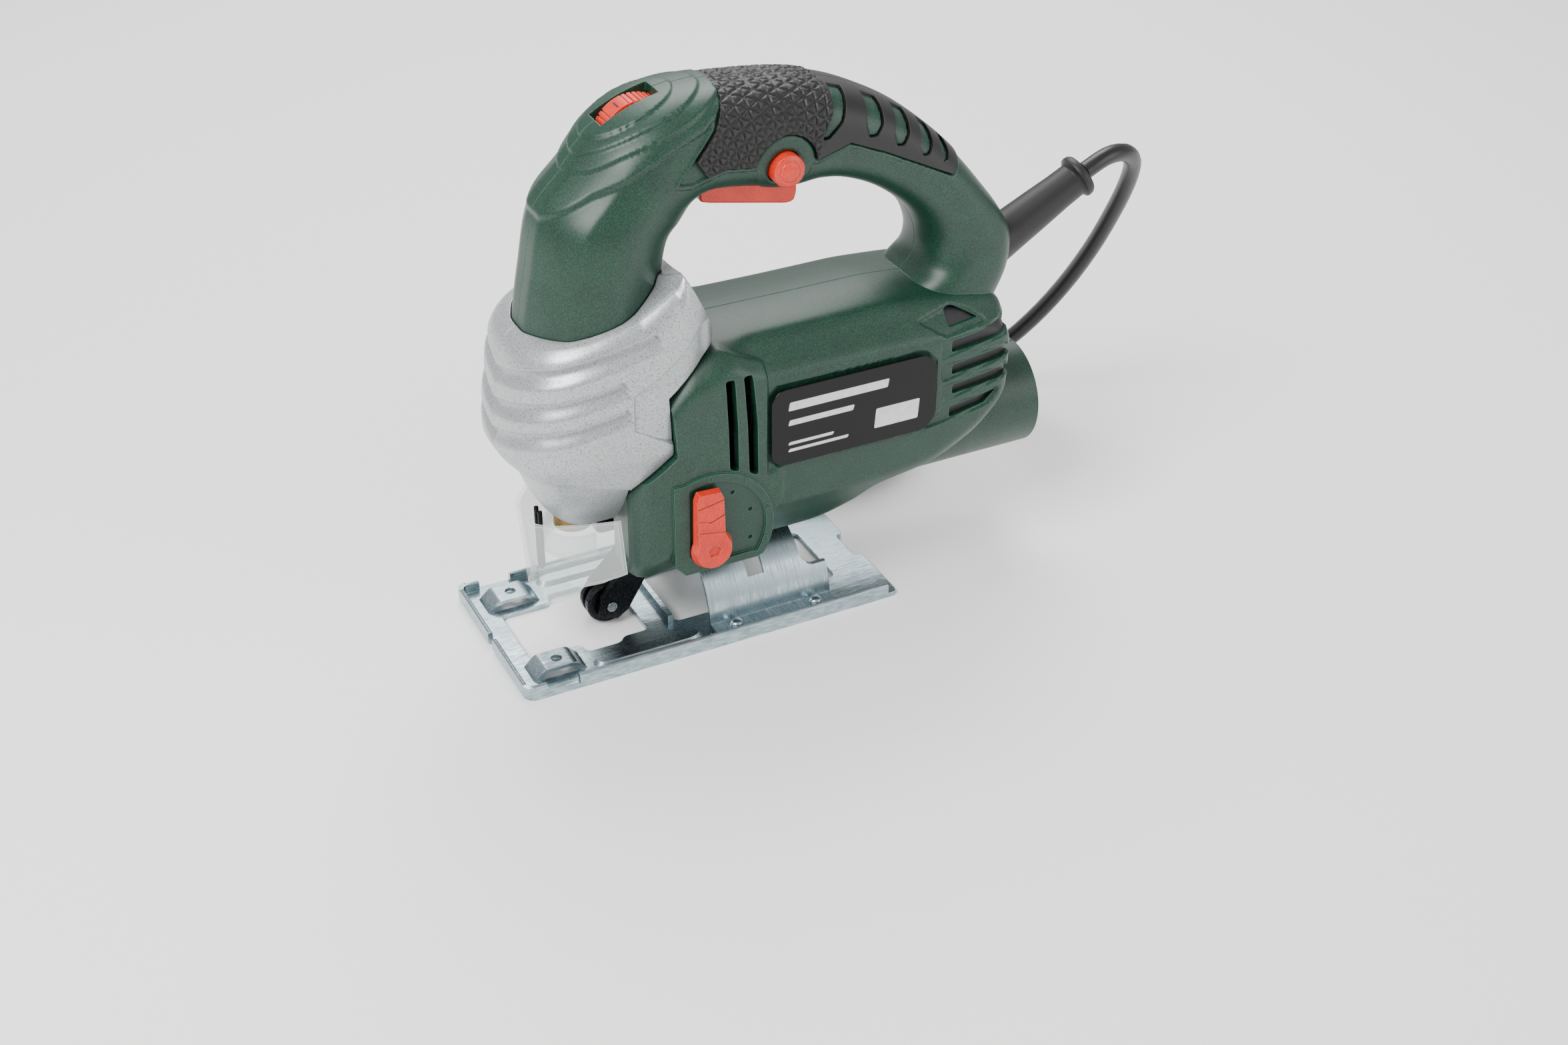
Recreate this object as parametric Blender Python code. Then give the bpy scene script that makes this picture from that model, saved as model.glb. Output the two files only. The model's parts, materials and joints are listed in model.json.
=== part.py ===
"""D-handle jigsaw: clamshell body, gear cover, drive train, controls, roller, tilting base and mains lead.

Lengths are in millimetres until MM turns them to metres.  X runs from the cutting front to the rear,
Z is up from the underside of the base, and the seam between the two housing halves is the plane y = 0.
"""
import bpy
import bmesh
import math
import numpy as np
from mathutils import Matrix, Vector

MM = 0.001
GAP = 0.3                       # clearance between pieces that touch
X_MID = 124.9                   # middle of the whole tool, measured from the front edge of the base
WALL = 3.0                      # housing wall

# base
BASE_LENGTH = 151.5
BASE_HALF_WIDTH = 36.5
SHEET = 2.0
RIM_TOP = 6.0
TILT_LIMIT = 45.0
ARCH_RADIUS = 27.0
ARCH_CENTRE_Z = 2.5
ARCH_X = (77.0, 127.0)
RIVET_X = (86.0, 119.0)
CLAMP_X = 98.0

# body
BODY_BOTTOM = 30.5
MOTOR_TOP = 120.5
HALF_WIDTH = 33.0
MOTOR_Z = 88.0
PORT_RADIUS = 21.0
PORT_BORE = 18.5
PORT_Z = 55.5
PORT_END = 220.5

# drive
GEAR_TEETH = 44
PINION_TEETH = 8
MODULE = 1.0
GEAR_Z = MOTOR_Z + MODULE * (GEAR_TEETH + PINION_TEETH) / 2
CRANK_RADIUS = 10.0
PLUNGER_X = 35.0
PLUNGER_RADIUS = 4.5

# controls
LOCK_BUTTON = (111.0, 177.0)
LOCK_RADIUS = 6.0
DIAL_CENTRE = (65.0, 189.0)
DIAL_RADIUS = 15.0
LEVER_PIVOT = (74.2, 48.0)
LEVER_HUB = (74.0, 44.2)
LEVER_OUT = (34.9, 38.2)
LEVER_RIM = 25.0
RIM_OUT = 34.6
ROLLER_CENTRE = (46.0, 9.0)
ROLLER_RADIUS = 8.5
FORK_PIVOT = (63.0, 40.0)

# lead
CORD_DIAMETER = 7.0
COIL_CENTRE = (175.0, 86.0)
COIL_INNER = 31.3
COIL_OUTER = 45.7
COIL_HEIGHT = 27.0
CORD_ROUTE = (
    (246.9, 0.0, 142.1), (257.0, 0.8, 145.9), (267.0, 3.4, 144.6), (275.6, 9.0, 137.2), (280.6, 17.5, 124.0),
    (282.6, 28.0, 106.0), (282.0, 39.5, 85.0), (278.4, 51.5, 63.5), (272.2, 63.5, 43.5), (264.5, 76.0, 26.0),
    (255.0, 89.0, 13.0), (243.5, 102.0, 6.3), (230.0, 113.5, 4.0), (215.5, 122.8, 3.8), (201.0, 127.8, 3.8),
)
TAIL_ROUTE = (
    (149.0, 128.2, 17.6), (142.0, 128.2, 13.6), (135.0, 128.2, 10.3), (128.0, 128.2, 8.4), (120.5, 128.2, 7.8),
)
PLUG_TAIL = (120.2, 128.2)


def clear_scene():
    """Remove every object that the file opened with."""
    for thing in list(bpy.data.objects):
        bpy.data.objects.remove(thing, do_unlink=True)


clear_scene()
PARTS = bpy.data.collections.new("jigsaw")
CUTTERS = bpy.data.collections.new("cutters")
bpy.context.scene.collection.children.link(PARTS)
bpy.context.scene.collection.children.link(CUTTERS)
ROOT = bpy.data.objects.new("jigsaw_origin", None)
ROOT.location = (-X_MID * MM, 0, 0)
PARTS.objects.link(ROOT)


def linear(value):
    """sRGB channel to linear light."""
    return value / 12.92 if value <= 0.04045 else ((value + 0.055) / 1.055) ** 2.4


def material(name, colour, roughness=0.5, metallic=0.0):
    """Principled material from an sRGB hex colour."""
    made = bpy.data.materials.new(name)
    made.use_nodes = True
    shader = made.node_tree.nodes["Principled BSDF"]
    channels = [linear(int(colour[i:i + 2], 16) / 255) for i in (1, 3, 5)]
    shader.inputs["Base Color"].default_value = (*channels, 1)
    shader.inputs["Roughness"].default_value = roughness
    shader.inputs["Metallic"].default_value = metallic
    made.diffuse_color = (*channels, 1)
    return made


GREEN = material("green_abs", "#2c5844", 0.5)
SILVER = material("silver_paint", "#b9bbbd", 0.42, 0.5)
RUBBER = material("black_rubber", "#202123", 0.7)
RED = material("red_plastic", "#e8513a", 0.4)
ZINC = material("zinc_steel", "#a9b7bc", 0.3, 1.0)
STEEL = material("ground_steel", "#9a9da1", 0.3, 1.0)
DARK = material("blackened_steel", "#2a2b2d", 0.4, 0.8)
COPPER = material("copper", "#b8703c", 0.35, 1.0)
BRONZE = material("sintered_bronze", "#8a6a3e", 0.5, 1.0)
CLEAR = material("clear_polycarbonate", "#d8dcda", 0.1)
NYLON = material("black_nylon", "#17181a", 0.55)
LABEL = material("label_foil", "#0e0e10", 0.15)


def add(name, mesh, finish, smooth=True):
    """Link a mesh as a finished part under the tool's origin."""
    thing = bpy.data.objects.new(name, mesh)
    PARTS.objects.link(thing)
    thing.parent = ROOT
    mesh.materials.clear()
    mesh.materials.append(finish)
    if smooth:
        mesh.shade_smooth()
        mesh.set_sharp_from_angle(angle=math.radians(35))
    return thing


def helper(name, mesh):
    """Link a mesh as a construction solid, which is not a part."""
    thing = bpy.data.objects.new(name, mesh)
    CUTTERS.objects.link(thing)
    thing.parent = ROOT
    thing.hide_render = True
    thing.display_type = "WIRE"
    return thing


def mesh_from(build, name="solid"):
    """Run a bmesh building function and return its mesh in metres."""
    work = bmesh.new()
    build(work)
    bmesh.ops.scale(work, vec=(MM, MM, MM), verts=work.verts)
    bmesh.ops.recalc_face_normals(work, faces=work.faces)
    made = bpy.data.meshes.new(name)
    work.to_mesh(made)
    work.free()
    return made


def box_mesh(low, high, bevel=0.0, segments=2):
    """Block between two corners, with rounded edges where bevel is given."""
    def build(work):
        bmesh.ops.create_cube(work, size=1)
        size = [b - a for a, b in zip(low, high)]
        middle = [(a + b) / 2 for a, b in zip(low, high)]
        bmesh.ops.scale(work, vec=size, verts=work.verts)
        bmesh.ops.translate(work, vec=middle, verts=work.verts)
        if bevel:
            bmesh.ops.bevel(
                work, geom=work.edges[:], offset=bevel, segments=segments, affect="EDGES", profile=0.5)
    return mesh_from(build)


def cylinder_mesh(start, end, radius, sides=24):
    """Cylinder between two points."""
    def build(work):
        a, b = Vector(start), Vector(end)
        turn = (b - a).to_track_quat("Z", "Y").to_matrix().to_4x4()
        bmesh.ops.create_cone(
            work, cap_ends=True, segments=sides, radius1=radius, radius2=radius, depth=(b - a).length,
            matrix=Matrix.Translation((a + b) / 2) @ turn)
    return mesh_from(build)


def turned_mesh(profile, origin, axis, sides=24):
    """Solid turned about an axis: profile is a closed loop of (radius, height along the axis)."""
    def build(work):
        turn = Vector(axis).to_track_quat("Z", "Y").to_matrix().to_4x4()
        place = Matrix.Translation(origin) @ turn
        angles = [2 * math.pi * i / sides for i in range(sides)]
        rings = []
        for radius, height in profile:
            if radius < 1e-6:
                rings.append([work.verts.new(place @ Vector((0, 0, height)))])
                continue
            ring = [work.verts.new(place @ Vector((radius * math.cos(t), radius * math.sin(t), height)))
                    for t in angles]
            rings.append(ring)
        closed = profile[0][0] > 1e-6 and profile[-1][0] > 1e-6
        pairs = list(zip(rings, rings[1:] + rings[:1])) if closed else list(zip(rings, rings[1:]))
        for lower, upper in pairs:
            for i in range(sides):
                j = (i + 1) % sides
                loop = [lower[i % len(lower)], lower[j % len(lower)],
                        upper[j % len(upper)], upper[i % len(upper)]]
                unique = list(dict.fromkeys(loop))
                if len(unique) > 2:
                    work.faces.new(unique)
    return mesh_from(build)


def outline_mesh(points, start, end, plane="XZ", holes=()):
    """Flat outline (with holes) given thickness: XZ runs along Y, XY along Z, YZ along X."""
    flat = bpy.data.curves.new("outline", "CURVE")
    flat.dimensions = "2D"
    flat.fill_mode = "BOTH"
    flat.extrude = (end - start) / 2 * MM
    for loop in (points, *holes):
        spline = flat.splines.new("POLY")
        spline.points.add(len(loop) - 1)
        for point, (u, v) in zip(spline.points, loop):
            point.co = (u * MM, v * MM, 0, 1)
        spline.use_cyclic_u = True
    thing = bpy.data.objects.new("outline", flat)
    bpy.context.scene.collection.objects.link(thing)
    shift = Matrix.Translation((0, 0, (start + end) / 2 * MM))
    turns = {
        "XY": Matrix(((1, 0, 0, 0), (0, 1, 0, 0), (0, 0, 1, 0), (0, 0, 0, 1))),
        "XZ": Matrix(((1, 0, 0, 0), (0, 0, 1, 0), (0, 1, 0, 0), (0, 0, 0, 1))),
        "YZ": Matrix(((0, 0, 1, 0), (1, 0, 0, 0), (0, 1, 0, 0), (0, 0, 0, 1))),
    }
    bpy.context.view_layer.update()
    made = bpy.data.meshes.new_from_object(thing.evaluated_get(bpy.context.evaluated_depsgraph_get()))
    bpy.data.objects.remove(thing, do_unlink=True)
    work = bmesh.new()
    work.from_mesh(made)
    bmesh.ops.remove_doubles(work, verts=work.verts, dist=1e-6)
    bmesh.ops.transform(work, matrix=turns[plane] @ shift, verts=work.verts)
    bmesh.ops.recalc_face_normals(work, faces=work.faces)
    work.to_mesh(made)
    work.free()
    return made


def ring_points(centre, u_axis, v_axis, half_u, half_v, power, count=20):
    """Superellipse |u/a|^n + |v/b|^n = 1 in the plane of two axes."""
    t = (np.arange(count) + 0.5) * 2 * math.pi / count
    c, s = np.cos(t), np.sin(t)
    u = half_u * np.sign(c) * np.abs(c) ** (2 / power)
    v = half_v * np.sign(s) * np.abs(s) ** (2 / power)
    return np.array(centre) + np.outer(u, u_axis) + np.outer(v, v_axis)


def loft_mesh(rings):
    """Closed skin through rings of equal length, with capped ends."""
    def build(work):
        rows = [[work.verts.new(tuple(p)) for p in ring] for ring in rings]
        count = len(rows[0])
        for lower, upper in zip(rows, rows[1:]):
            for i in range(count):
                j = (i + 1) % count
                work.faces.new((lower[i], lower[j], upper[j], upper[i]))
        work.faces.new(rows[0][::-1])
        work.faces.new(rows[-1])
    return mesh_from(build)


def tube_mesh(points, radius, resolution=2, radii=None):
    """Round bar along a path, closed at both ends."""
    path = bpy.data.curves.new("path", "CURVE")
    path.dimensions = "3D"
    path.bevel_depth = radius * MM
    path.bevel_resolution = resolution
    path.use_fill_caps = True
    spline = path.splines.new("POLY")
    spline.points.add(len(points) - 1)
    for i, (point, place) in enumerate(zip(spline.points, points)):
        point.co = (*(c * MM for c in place), 1)
        point.radius = radii[i] / radius if radii else 1.0
    thing = bpy.data.objects.new("path", path)
    bpy.context.scene.collection.objects.link(thing)
    bpy.context.view_layer.update()
    made = bpy.data.meshes.new_from_object(thing.evaluated_get(bpy.context.evaluated_depsgraph_get()))
    bpy.data.objects.remove(thing, do_unlink=True)
    work = bmesh.new()
    work.from_mesh(made)
    bmesh.ops.remove_doubles(work, verts=work.verts, dist=1e-6)
    bmesh.ops.recalc_face_normals(work, faces=work.faces)
    work.to_mesh(made)
    work.free()
    return made


def boolean(thing, other, operation="DIFFERENCE"):
    """Add an exact Boolean with a construction solid."""
    cut = thing.modifiers.new(other.name, "BOOLEAN")
    cut.operation = operation
    cut.object = other
    cut.solver = "EXACT"
    return cut


def cut(thing, *meshes):
    """Take each solid away from a part."""
    for number, mesh in enumerate(meshes):
        boolean(thing, helper(f"{thing.name}_cut_{number}", mesh))
    return thing


def join(thing, *meshes):
    """Fuse each solid onto a part."""
    for number, mesh in enumerate(meshes):
        boolean(thing, helper(f"{thing.name}_join_{number}", mesh), "UNION")
    return thing


def baked(thing):
    """Mesh of an object as its modifiers leave it."""
    bpy.context.view_layer.update()
    return bpy.data.meshes.new_from_object(thing.evaluated_get(bpy.context.evaluated_depsgraph_get()))


def put_origin(thing, x, y, z):
    """Move a part's origin to a point, such as its joint's axis, without moving its surface."""
    thing.data.transform(Matrix.Translation((-x * MM, -y * MM, -z * MM)))
    thing.location = (x * MM, y * MM, z * MM)
    return thing


def spline_points(route, count):
    """Catmull-Rom curve through a route, read at even steps of length."""
    route = [np.array(p, float) for p in route]
    route = [2 * route[0] - route[1], *route, 2 * route[-1] - route[-2]]
    dense = []
    for a, b, c, d in zip(route, route[1:], route[2:], route[3:]):
        for t in np.linspace(0, 1, 12, endpoint=False):
            dense.append(0.5 * (2 * b + (c - a) * t + (2 * a - 5 * b + 4 * c - d) * t ** 2
                                + (3 * b - a - 3 * c + d) * t ** 3))
    dense.append(route[-2])
    dense = np.array(dense)
    along = np.concatenate([[0], np.cumsum(np.linalg.norm(np.diff(dense, axis=0), axis=1))])
    steps = np.linspace(0, along[-1], count)
    return np.stack([np.interp(steps, along, dense[:, i]) for i in range(3)], 1)


# ---------------------------------------------------------------- housing forms

def motor_form(inset):
    """Motor body: superellipse sections along X, each (x, bottom, top, half width, power)."""
    sections = (
        (47.6, 31.5, 71, 25, 3.5), (50, BODY_BOTTOM, 76, 29, 4), (60, BODY_BOTTOM, 104, 32, 5),
        (72, BODY_BOTTOM, 116, HALF_WIDTH, 5), (84, BODY_BOTTOM, 121, HALF_WIDTH, 4.5),
        (98, BODY_BOTTOM, 121, HALF_WIDTH, 4.5),
        (121, BODY_BOTTOM, MOTOR_TOP, HALF_WIDTH, 4.5), (137, 38, MOTOR_TOP, HALF_WIDTH, 4.5),
        (147, 46, MOTOR_TOP, HALF_WIDTH, 4.2), (166, 50, 119, HALF_WIDTH, 4), (184, 58, 116.5, HALF_WIDTH, 4),
        (196, 66, 113, 32, 3.6), (200, 71, 109, 29, 3.4),
    )
    rings = []
    last = len(sections) - 1
    for number, (x, bottom, top, half, power) in enumerate(sections):
        along = inset if number == 0 else -inset if number == last else 0
        centre = (x + along, 0, (bottom + top) / 2)
        high = (top - bottom) / 2 - inset
        rings.append(ring_points(centre, (0, 1, 0), (0, 0, 1), half - inset, high, power, 20))
    return loft_mesh(rings)


def tower_form(inset):
    """Gear case and front post foot: plan superellipses up Z, each (z, front x, rear x, half width, power)."""
    sections = (
        (50, 27, 62, 13, 2.2), (63, 17, 74, 22, 2.3), (74, 11, 80, 29, 2.5), (87, 6.5, 84, 33, 2.7),
        (100, 7.5, 86, 33.4, 2.8), (114, 10, 86, 33.4, 2.8), (126, 12.5, 85, 32.5, 2.8),
        (138, 15.5, 78, 30.5, 2.8), (150, 20.5, 70, 27.5, 2.8),
    )
    rings = []
    last = len(sections) - 1
    for number, (z, front, rear, half, power) in enumerate(sections):
        along = inset if number == 0 else -inset if number == last else 0
        centre = ((front + rear) / 2, 0, z + along)
        long = (rear - front) / 2 - inset
        rings.append(ring_points(centre, (1, 0, 0), (0, 1, 0), long, half - inset, power, 20))
    return loft_mesh(rings)


def loop_form(inset):
    """Front post, head, grip and rear post: sections between an outer and an inner outline point."""
    sections = (
        ((17, 116), (66, 116), 26.5), ((18, 128.5), (67, 130), 27), ((21.5, 148), (68, 146), 27),
        ((26.6, 170), (70.5, 156.5), 26.5), ((38, 183), (75, 161.5), 25), ((49, 194), (80, 167), 24),
        ((64, 201.5), (86, 169.5), 22.5), ((82, 205), (94, 168.5), 21), ((102, 204.7), (104, 166.5), 19.8),
        ((122, 202.5), (117, 163.8), 19), ((137, 198.3), (128, 164.5), 18.6), ((150, 192.5), (138, 163), 18.5),
        ((163, 185), (150, 158), 18.5), ((176, 174.5), (161, 150.5), 18.5), ((187, 163.5), (168.5, 143), 18.5),
        ((197, 151.5), (172, 136), 18.6), ((205, 141), (173, 129.5), 19), ((210, 131), (171, 123), 20),
        ((209, 119), (165, 117), 22), ((203, 107), (160, 107), 23),
    )
    rings = []
    last = len(sections) - 1
    for number, (outer, inner, half) in enumerate(sections):
        outer, inner = np.array(outer, float), np.array(inner, float)
        span = outer - inner
        length = np.linalg.norm(span)
        direction = span / length
        centre = (outer + inner) / 2
        centre[1] += inset if number in (0, last) else 0
        rings.append(ring_points((centre[0], 0, centre[1]), (direction[0], 0, direction[1]), (0, 1, 0),
                                 length / 2 - inset, half - inset, 2.7, 16))
    return loft_mesh(rings)


# ---------------------------------------------------------------- housing

GEAR_COVER_EDGE = (
    (-10, 126), (18, 128.5), (35, 132), (52, 136.5), (66, 144), (69, 150), (83, 122.5), (60.5, 107), (62, 84),
    (47, 72.5), (47, 40), (-10, 40),
)
FORK_MOUTH = ((40, 20), (71, 20), (71, 36.2), (51.3, 36.2), (51.3, 63), (40, 63))
BOOT_AXIS = ((202, 0, 117.5), (246, 0, 141.8))


def grown_outline(points, distance):
    """Clockwise outline moved outwards: each corner goes to where its two shifted sides meet."""
    points = [np.array(p, float) for p in points]
    grown = []
    for before, here, after in zip(points[-1:] + points[:-1], points, points[1:] + points[:1]):
        first, second = here - before, after - here
        first, second = first / np.linalg.norm(first), second / np.linalg.norm(second)
        n1, n2 = np.array([-first[1], first[0]]), np.array([-second[1], second[0]])
        grown.append(tuple(here + (n1 + n2) * distance / (1 + n1 @ n2)))
    return grown


def body_solid(inset, port_radius, name):
    """The whole body as one construction solid, grown or shrunk by an inset."""
    body = helper(name, motor_form(inset))
    boolean(body, helper(name + "_tower", tower_form(inset)), "UNION")
    boolean(body, helper(name + "_loop", loop_form(inset)), "UNION")
    if port_radius:
        port = cylinder_mesh((150, 0, PORT_Z), (PORT_END, 0, PORT_Z), port_radius, sides=32)
        boolean(body, helper(name + "_port", port), "UNION")
    mesh = baked(body)
    body.modifiers.clear()
    body.data = mesh
    return body


def side_half(side):
    """Block holding everything on one side of the seam."""
    low, high = (-60, -GAP / 2) if side < 0 else (GAP / 2, 60)
    return box_mesh((-30, low, -20), (300, high, 240))


def vent_cutters(side):
    """Slots through one side wall: fan exhaust in front, motor intake at the rear."""
    reach = (side * 27, side * 40)
    low, high = min(reach), max(reach)
    slots = [box_mesh((x, low, 70), (x + 4.5, high, 110)) for x in (81.5, 88.5)]
    for z, front, rear in ((101, 168, 205), (91.5, 168, 205), (82, 168, 205), (73, 168, 193)):
        slots.append(box_mesh((front, low - 12 * (side > 0), z - 2), (rear, high + 12 * (side < 0), z + 2)))
    return slots


def housing_halves():
    """Green clamshell halves and the two silver gear cover halves, cut from one outer and one inner form."""
    outer = body_solid(0, PORT_RADIUS, "outer_form")
    inner = body_solid(WALL, 0, "inner_form")
    cover_region = outline_mesh(GEAR_COVER_EDGE, -60, 60)
    cover_grown = outline_mesh(grown_outline(GEAR_COVER_EDGE, GAP), -60, 60)
    region = helper("cover_region", cover_region)
    grown = helper("cover_region_grown", cover_grown)
    made = {}
    for side, word in ((-1, "left"), (1, "right")):
        keep = helper("half_" + word, side_half(side))
        shell = add("housing_" + word, outer.data.copy(), GREEN)
        boolean(shell, keep, "INTERSECT")
        boolean(shell, grown)
        boolean(shell, inner)
        cover = add("gear_cover_" + word, outer.data.copy(), SILVER)
        boolean(cover, keep, "INTERSECT")
        boolean(cover, region, "INTERSECT")
        boolean(cover, inner)
        made[word] = (shell, cover)
    return made


def open_housing(made):
    """Slots and bores through the shells for the controls, plunger, lead, port and base screw."""
    for side, word in ((-1, "left"), (1, "right")):
        shell, cover = made[word]
        cut(shell,
            box_mesh((84.4, -7.2, 148), (122.6, 7.2, 174)),
            box_mesh((48, -5.3, 186), (80.5, 5.3, 215)),
            cylinder_mesh((140, 0, PORT_Z), (PORT_END + 5, 0, PORT_Z), PORT_BORE, sides=32),
            cylinder_mesh(BOOT_AXIS[0], (250, 0, 144), 9.5, sides=16),
            cylinder_mesh((CLAMP_X, 0, 20), (CLAMP_X, 0, 40), 3.2, sides=12),
            outline_mesh(FORK_MOUTH, -8.7, 8.7),
            *vent_cutters(side))
        cut(cover, cylinder_mesh((PLUNGER_X, 0, 40), (PLUNGER_X, 0, 60), 8.3, sides=20))
    lock_x, lock_z = LOCK_BUTTON
    lock_bore = cylinder_mesh((lock_x, -40, lock_z), (lock_x, -10, lock_z), LOCK_RADIUS + GAP, sides=24)
    cut(made["left"][0], lock_bore)
    join(made["left"][0], lever_rim())
    lever_x, lever_z = LEVER_PIVOT
    cut(made["left"][0], cylinder_mesh((lever_x, -40, lever_z), (lever_x, -25, lever_z), 4.3, sides=16))


def grip_overmould(side, word):
    """Black soft grip: a thin skin over the handle, with five slanted windows to the green body."""
    outline = (
        (71, 180), (76, 179.3), (88, 182), (99, 180.5), (101, 185), (106, 188.8), (111, 190), (116, 188.8),
        (121, 184), (122.5, 178), (136, 181.5), (150, 175.5), (178, 161.5), (184, 168), (196, 156), (202, 168),
        (170, 196), (130, 215), (88, 215), (84, 198),
    )
    skin = add("grip_overmould_" + word, loop_form(-1.5), RUBBER)
    boolean(skin, helper("grip_half_" + word, side_half(side)), "INTERSECT")
    boolean(skin, helper("grip_region_" + word, outline_mesh(outline, -60, 60)), "INTERSECT")
    boolean(skin, helper("grip_core_" + word, loop_form(-GAP)))
    windows = (
        (132, 192, 12, 4), (146, 188, 11, 3.6), (157, 182.5, 9.5, 3.2), (167, 176, 8, 2.6), (175, 170.5, 6, 1.8),
    )
    for number, (x, z, length, half) in enumerate(windows):
        slant = math.radians(62 - 2 * number)
        direction = np.array([math.cos(slant), math.sin(slant)])
        across = np.array([direction[1], -direction[0]])
        middle = np.array([x, z])
        corners = [tuple(middle + direction * a * length / 2 + across * b * half)
                   for a, b in ((-1, -1), (-1, 1), (1, 1), (1, -1))]
        low, high = (-40, -8) if side < 0 else (8, 40)
        boolean(skin, helper(f"{skin.name}_window_{number}", outline_mesh(corners, low, high)))
    return skin


def cylinder(name, start, end, radius, finish, sides=24):
    """Named round part."""
    return add(name, cylinder_mesh(start, end, radius, sides), finish)


def gear_outline(teeth, centre_z, phase=0.0, addendum=0.6, dedendum=1.1):
    """Spur gear outline: each tooth is a four-point trapezium on the pitch circle, turned by phase teeth."""
    pitch = teeth * MODULE / 2
    step = 2 * math.pi / teeth
    points = []
    for tooth in range(teeth):
        for part, radius in ((-0.23, pitch - dedendum), (-0.10, pitch + addendum), (0.10, pitch + addendum),
                             (0.23, pitch - dedendum)):
            angle = (tooth + phase + part) * step
            points.append((radius * math.cos(angle), centre_z + radius * math.sin(angle)))
    return points


def drive_train():
    """Armature, gear, crank pin and plunger, with their bearings."""
    axis = MOTOR_Z
    pinion = outline_mesh(gear_outline(PINION_TEETH, axis, 0.5), 65.3, 75.5, "YZ")
    shaft = helper("shaft_solid", cylinder_mesh((75, 0, axis), (194, 0, axis), 3.5, sides=16))
    boolean(shaft, helper("pinion_solid", pinion), "UNION")
    add("armature_shaft", baked(shaft), STEEL, smooth=False)
    shaft.modifiers.clear()
    core = outline_mesh([(r * math.cos(t), axis + r * math.sin(t))
                         for t, r in armature_outline()], 108, 140, "YZ", holes=[circle((0, axis), 3.8, 12)])
    add("armature_core", core, STEEL, smooth=False)
    add("winding_front", ring_mesh((102, 0, axis), (107.7, 0, axis), 3.8, 13), COPPER)
    add("winding_rear", ring_mesh((140.3, 0, axis), (148, 0, axis), 3.8, 13), COPPER)
    add("commutator", ring_mesh((150, 0, axis), (162, 0, axis), 3.8, 9.5), COPPER)
    add("cooling_fan", fan_mesh(axis), NYLON, smooth=False)
    add("stator", stator_mesh(axis), STEEL, smooth=False)
    bearings = (("front_bearing", 76.5, 82.5, 9), ("rear_bearing", 180, 187, 9))
    for name, front, rear, radius in bearings:
        add(name, ring_mesh((front, 0, axis), (rear, 0, axis), 3.8, radius), STEEL)
    for side, word in ((-1, "left"), (1, "right")):
        brush = box_mesh((152.5, side * 14.8 - 4.9, axis - 3), (159.5, side * 14.8 + 4.9, axis + 3))
        add("carbon_brush_" + word, brush, DARK, smooth=False)
        holder = box_mesh((150, side * 23.3 - 3.2, axis - 5.5), (162, side * 23.3 + 3.2, axis + 5.5))
        add("brush_holder_" + word, holder, BRONZE, smooth=False)
    wheel = outline_mesh(gear_outline(GEAR_TEETH, GEAR_Z), 66, 74, "YZ", holes=[circle((0, GEAR_Z), 4.3, 16)])
    gear = add("drive_gear", wheel, STEEL, smooth=False)
    put_origin(gear, 70, 0, GEAR_Z)
    cylinder("gear_shaft", (66.3, 0, GEAR_Z), (80, 0, GEAR_Z), 4, STEEL, 16)
    pin_z = GEAR_Z + CRANK_RADIUS
    disc = helper("crank_disc_solid", cylinder_mesh((60.3, 0, GEAR_Z), (65.6, 0, GEAR_Z), 15, sides=24))
    boolean(disc, helper("crank_pin", cylinder_mesh((46, 0, pin_z), (61, 0, pin_z), 3, sides=16)), "UNION")
    add("crank_disc", baked(disc), STEEL)
    disc.modifiers.clear()
    add("crank_roller", ring_mesh((46.5, 0, pin_z), (54.5, 0, pin_z), 3.3, 5.5), STEEL)


def circle(centre, radius, count):
    """Points of a circle."""
    step = 2 * math.pi / count
    return [(centre[0] + radius * math.cos(step * i), centre[1] + radius * math.sin(step * i))
            for i in range(count)]


def armature_outline():
    """Laminated core outline with twelve winding slots."""
    points = []
    for slot in range(12):
        middle = 2 * math.pi * slot / 12
        for offset, radius in ((-0.20, 15.5), (0.20, 15.5), (0.22, 9.5), (0.30, 9.5)):
            points.append((middle + offset, radius))
    return points


def ring_mesh(start, end, inner, outer, sides=18):
    """Sleeve between two points."""
    length = (Vector(end) - Vector(start)).length
    axis = Vector(end) - Vector(start)
    return turned_mesh([(outer, 0), (outer, length), (inner, length), (inner, 0)], start, axis, sides)


def fan_mesh(axis):
    """Hub, disc and nine straight blades fused as one moulding."""
    hub = helper("fan_hub", ring_mesh((88, 0, axis), (99.5, 0, axis), 3.8, 7, 20))
    boolean(hub, helper("fan_disc", ring_mesh((95.5, 0, axis), (97.5, 0, axis), 5, 24, 28)), "UNION")
    for blade in range(9):
        angle = 2 * math.pi * blade / 9
        mesh = box_mesh((89, 5.5, -0.8), (96.5, 23, 0.8))
        mesh.transform(Matrix.Translation((0, 0, axis * MM)) @ Matrix.Rotation(angle, 4, "X"))
        boolean(hub, helper(f"fan_blade_{blade}", mesh), "UNION")
    mesh = baked(hub)
    hub.modifiers.clear()
    return mesh


def stator_mesh(axis):
    """Stator pack: a rounded square frame around the armature, with two pole shoes."""
    body = helper("stator_frame", box_mesh((106, -26, axis - 24), (142, 26, axis + 24), 6, 2))
    boolean(body, helper("stator_bore", cylinder_mesh((100, 0, axis), (150, 0, axis), 16.5, sides=32)))
    for side in (-1, 1):
        window = box_mesh((100, side * 14 - 4, axis - 16), (150, side * 14 + 4, axis + 16))
        boolean(body, helper(f"stator_window_{side}", window))
    mesh = baked(body)
    body.modifiers.clear()
    return mesh


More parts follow.
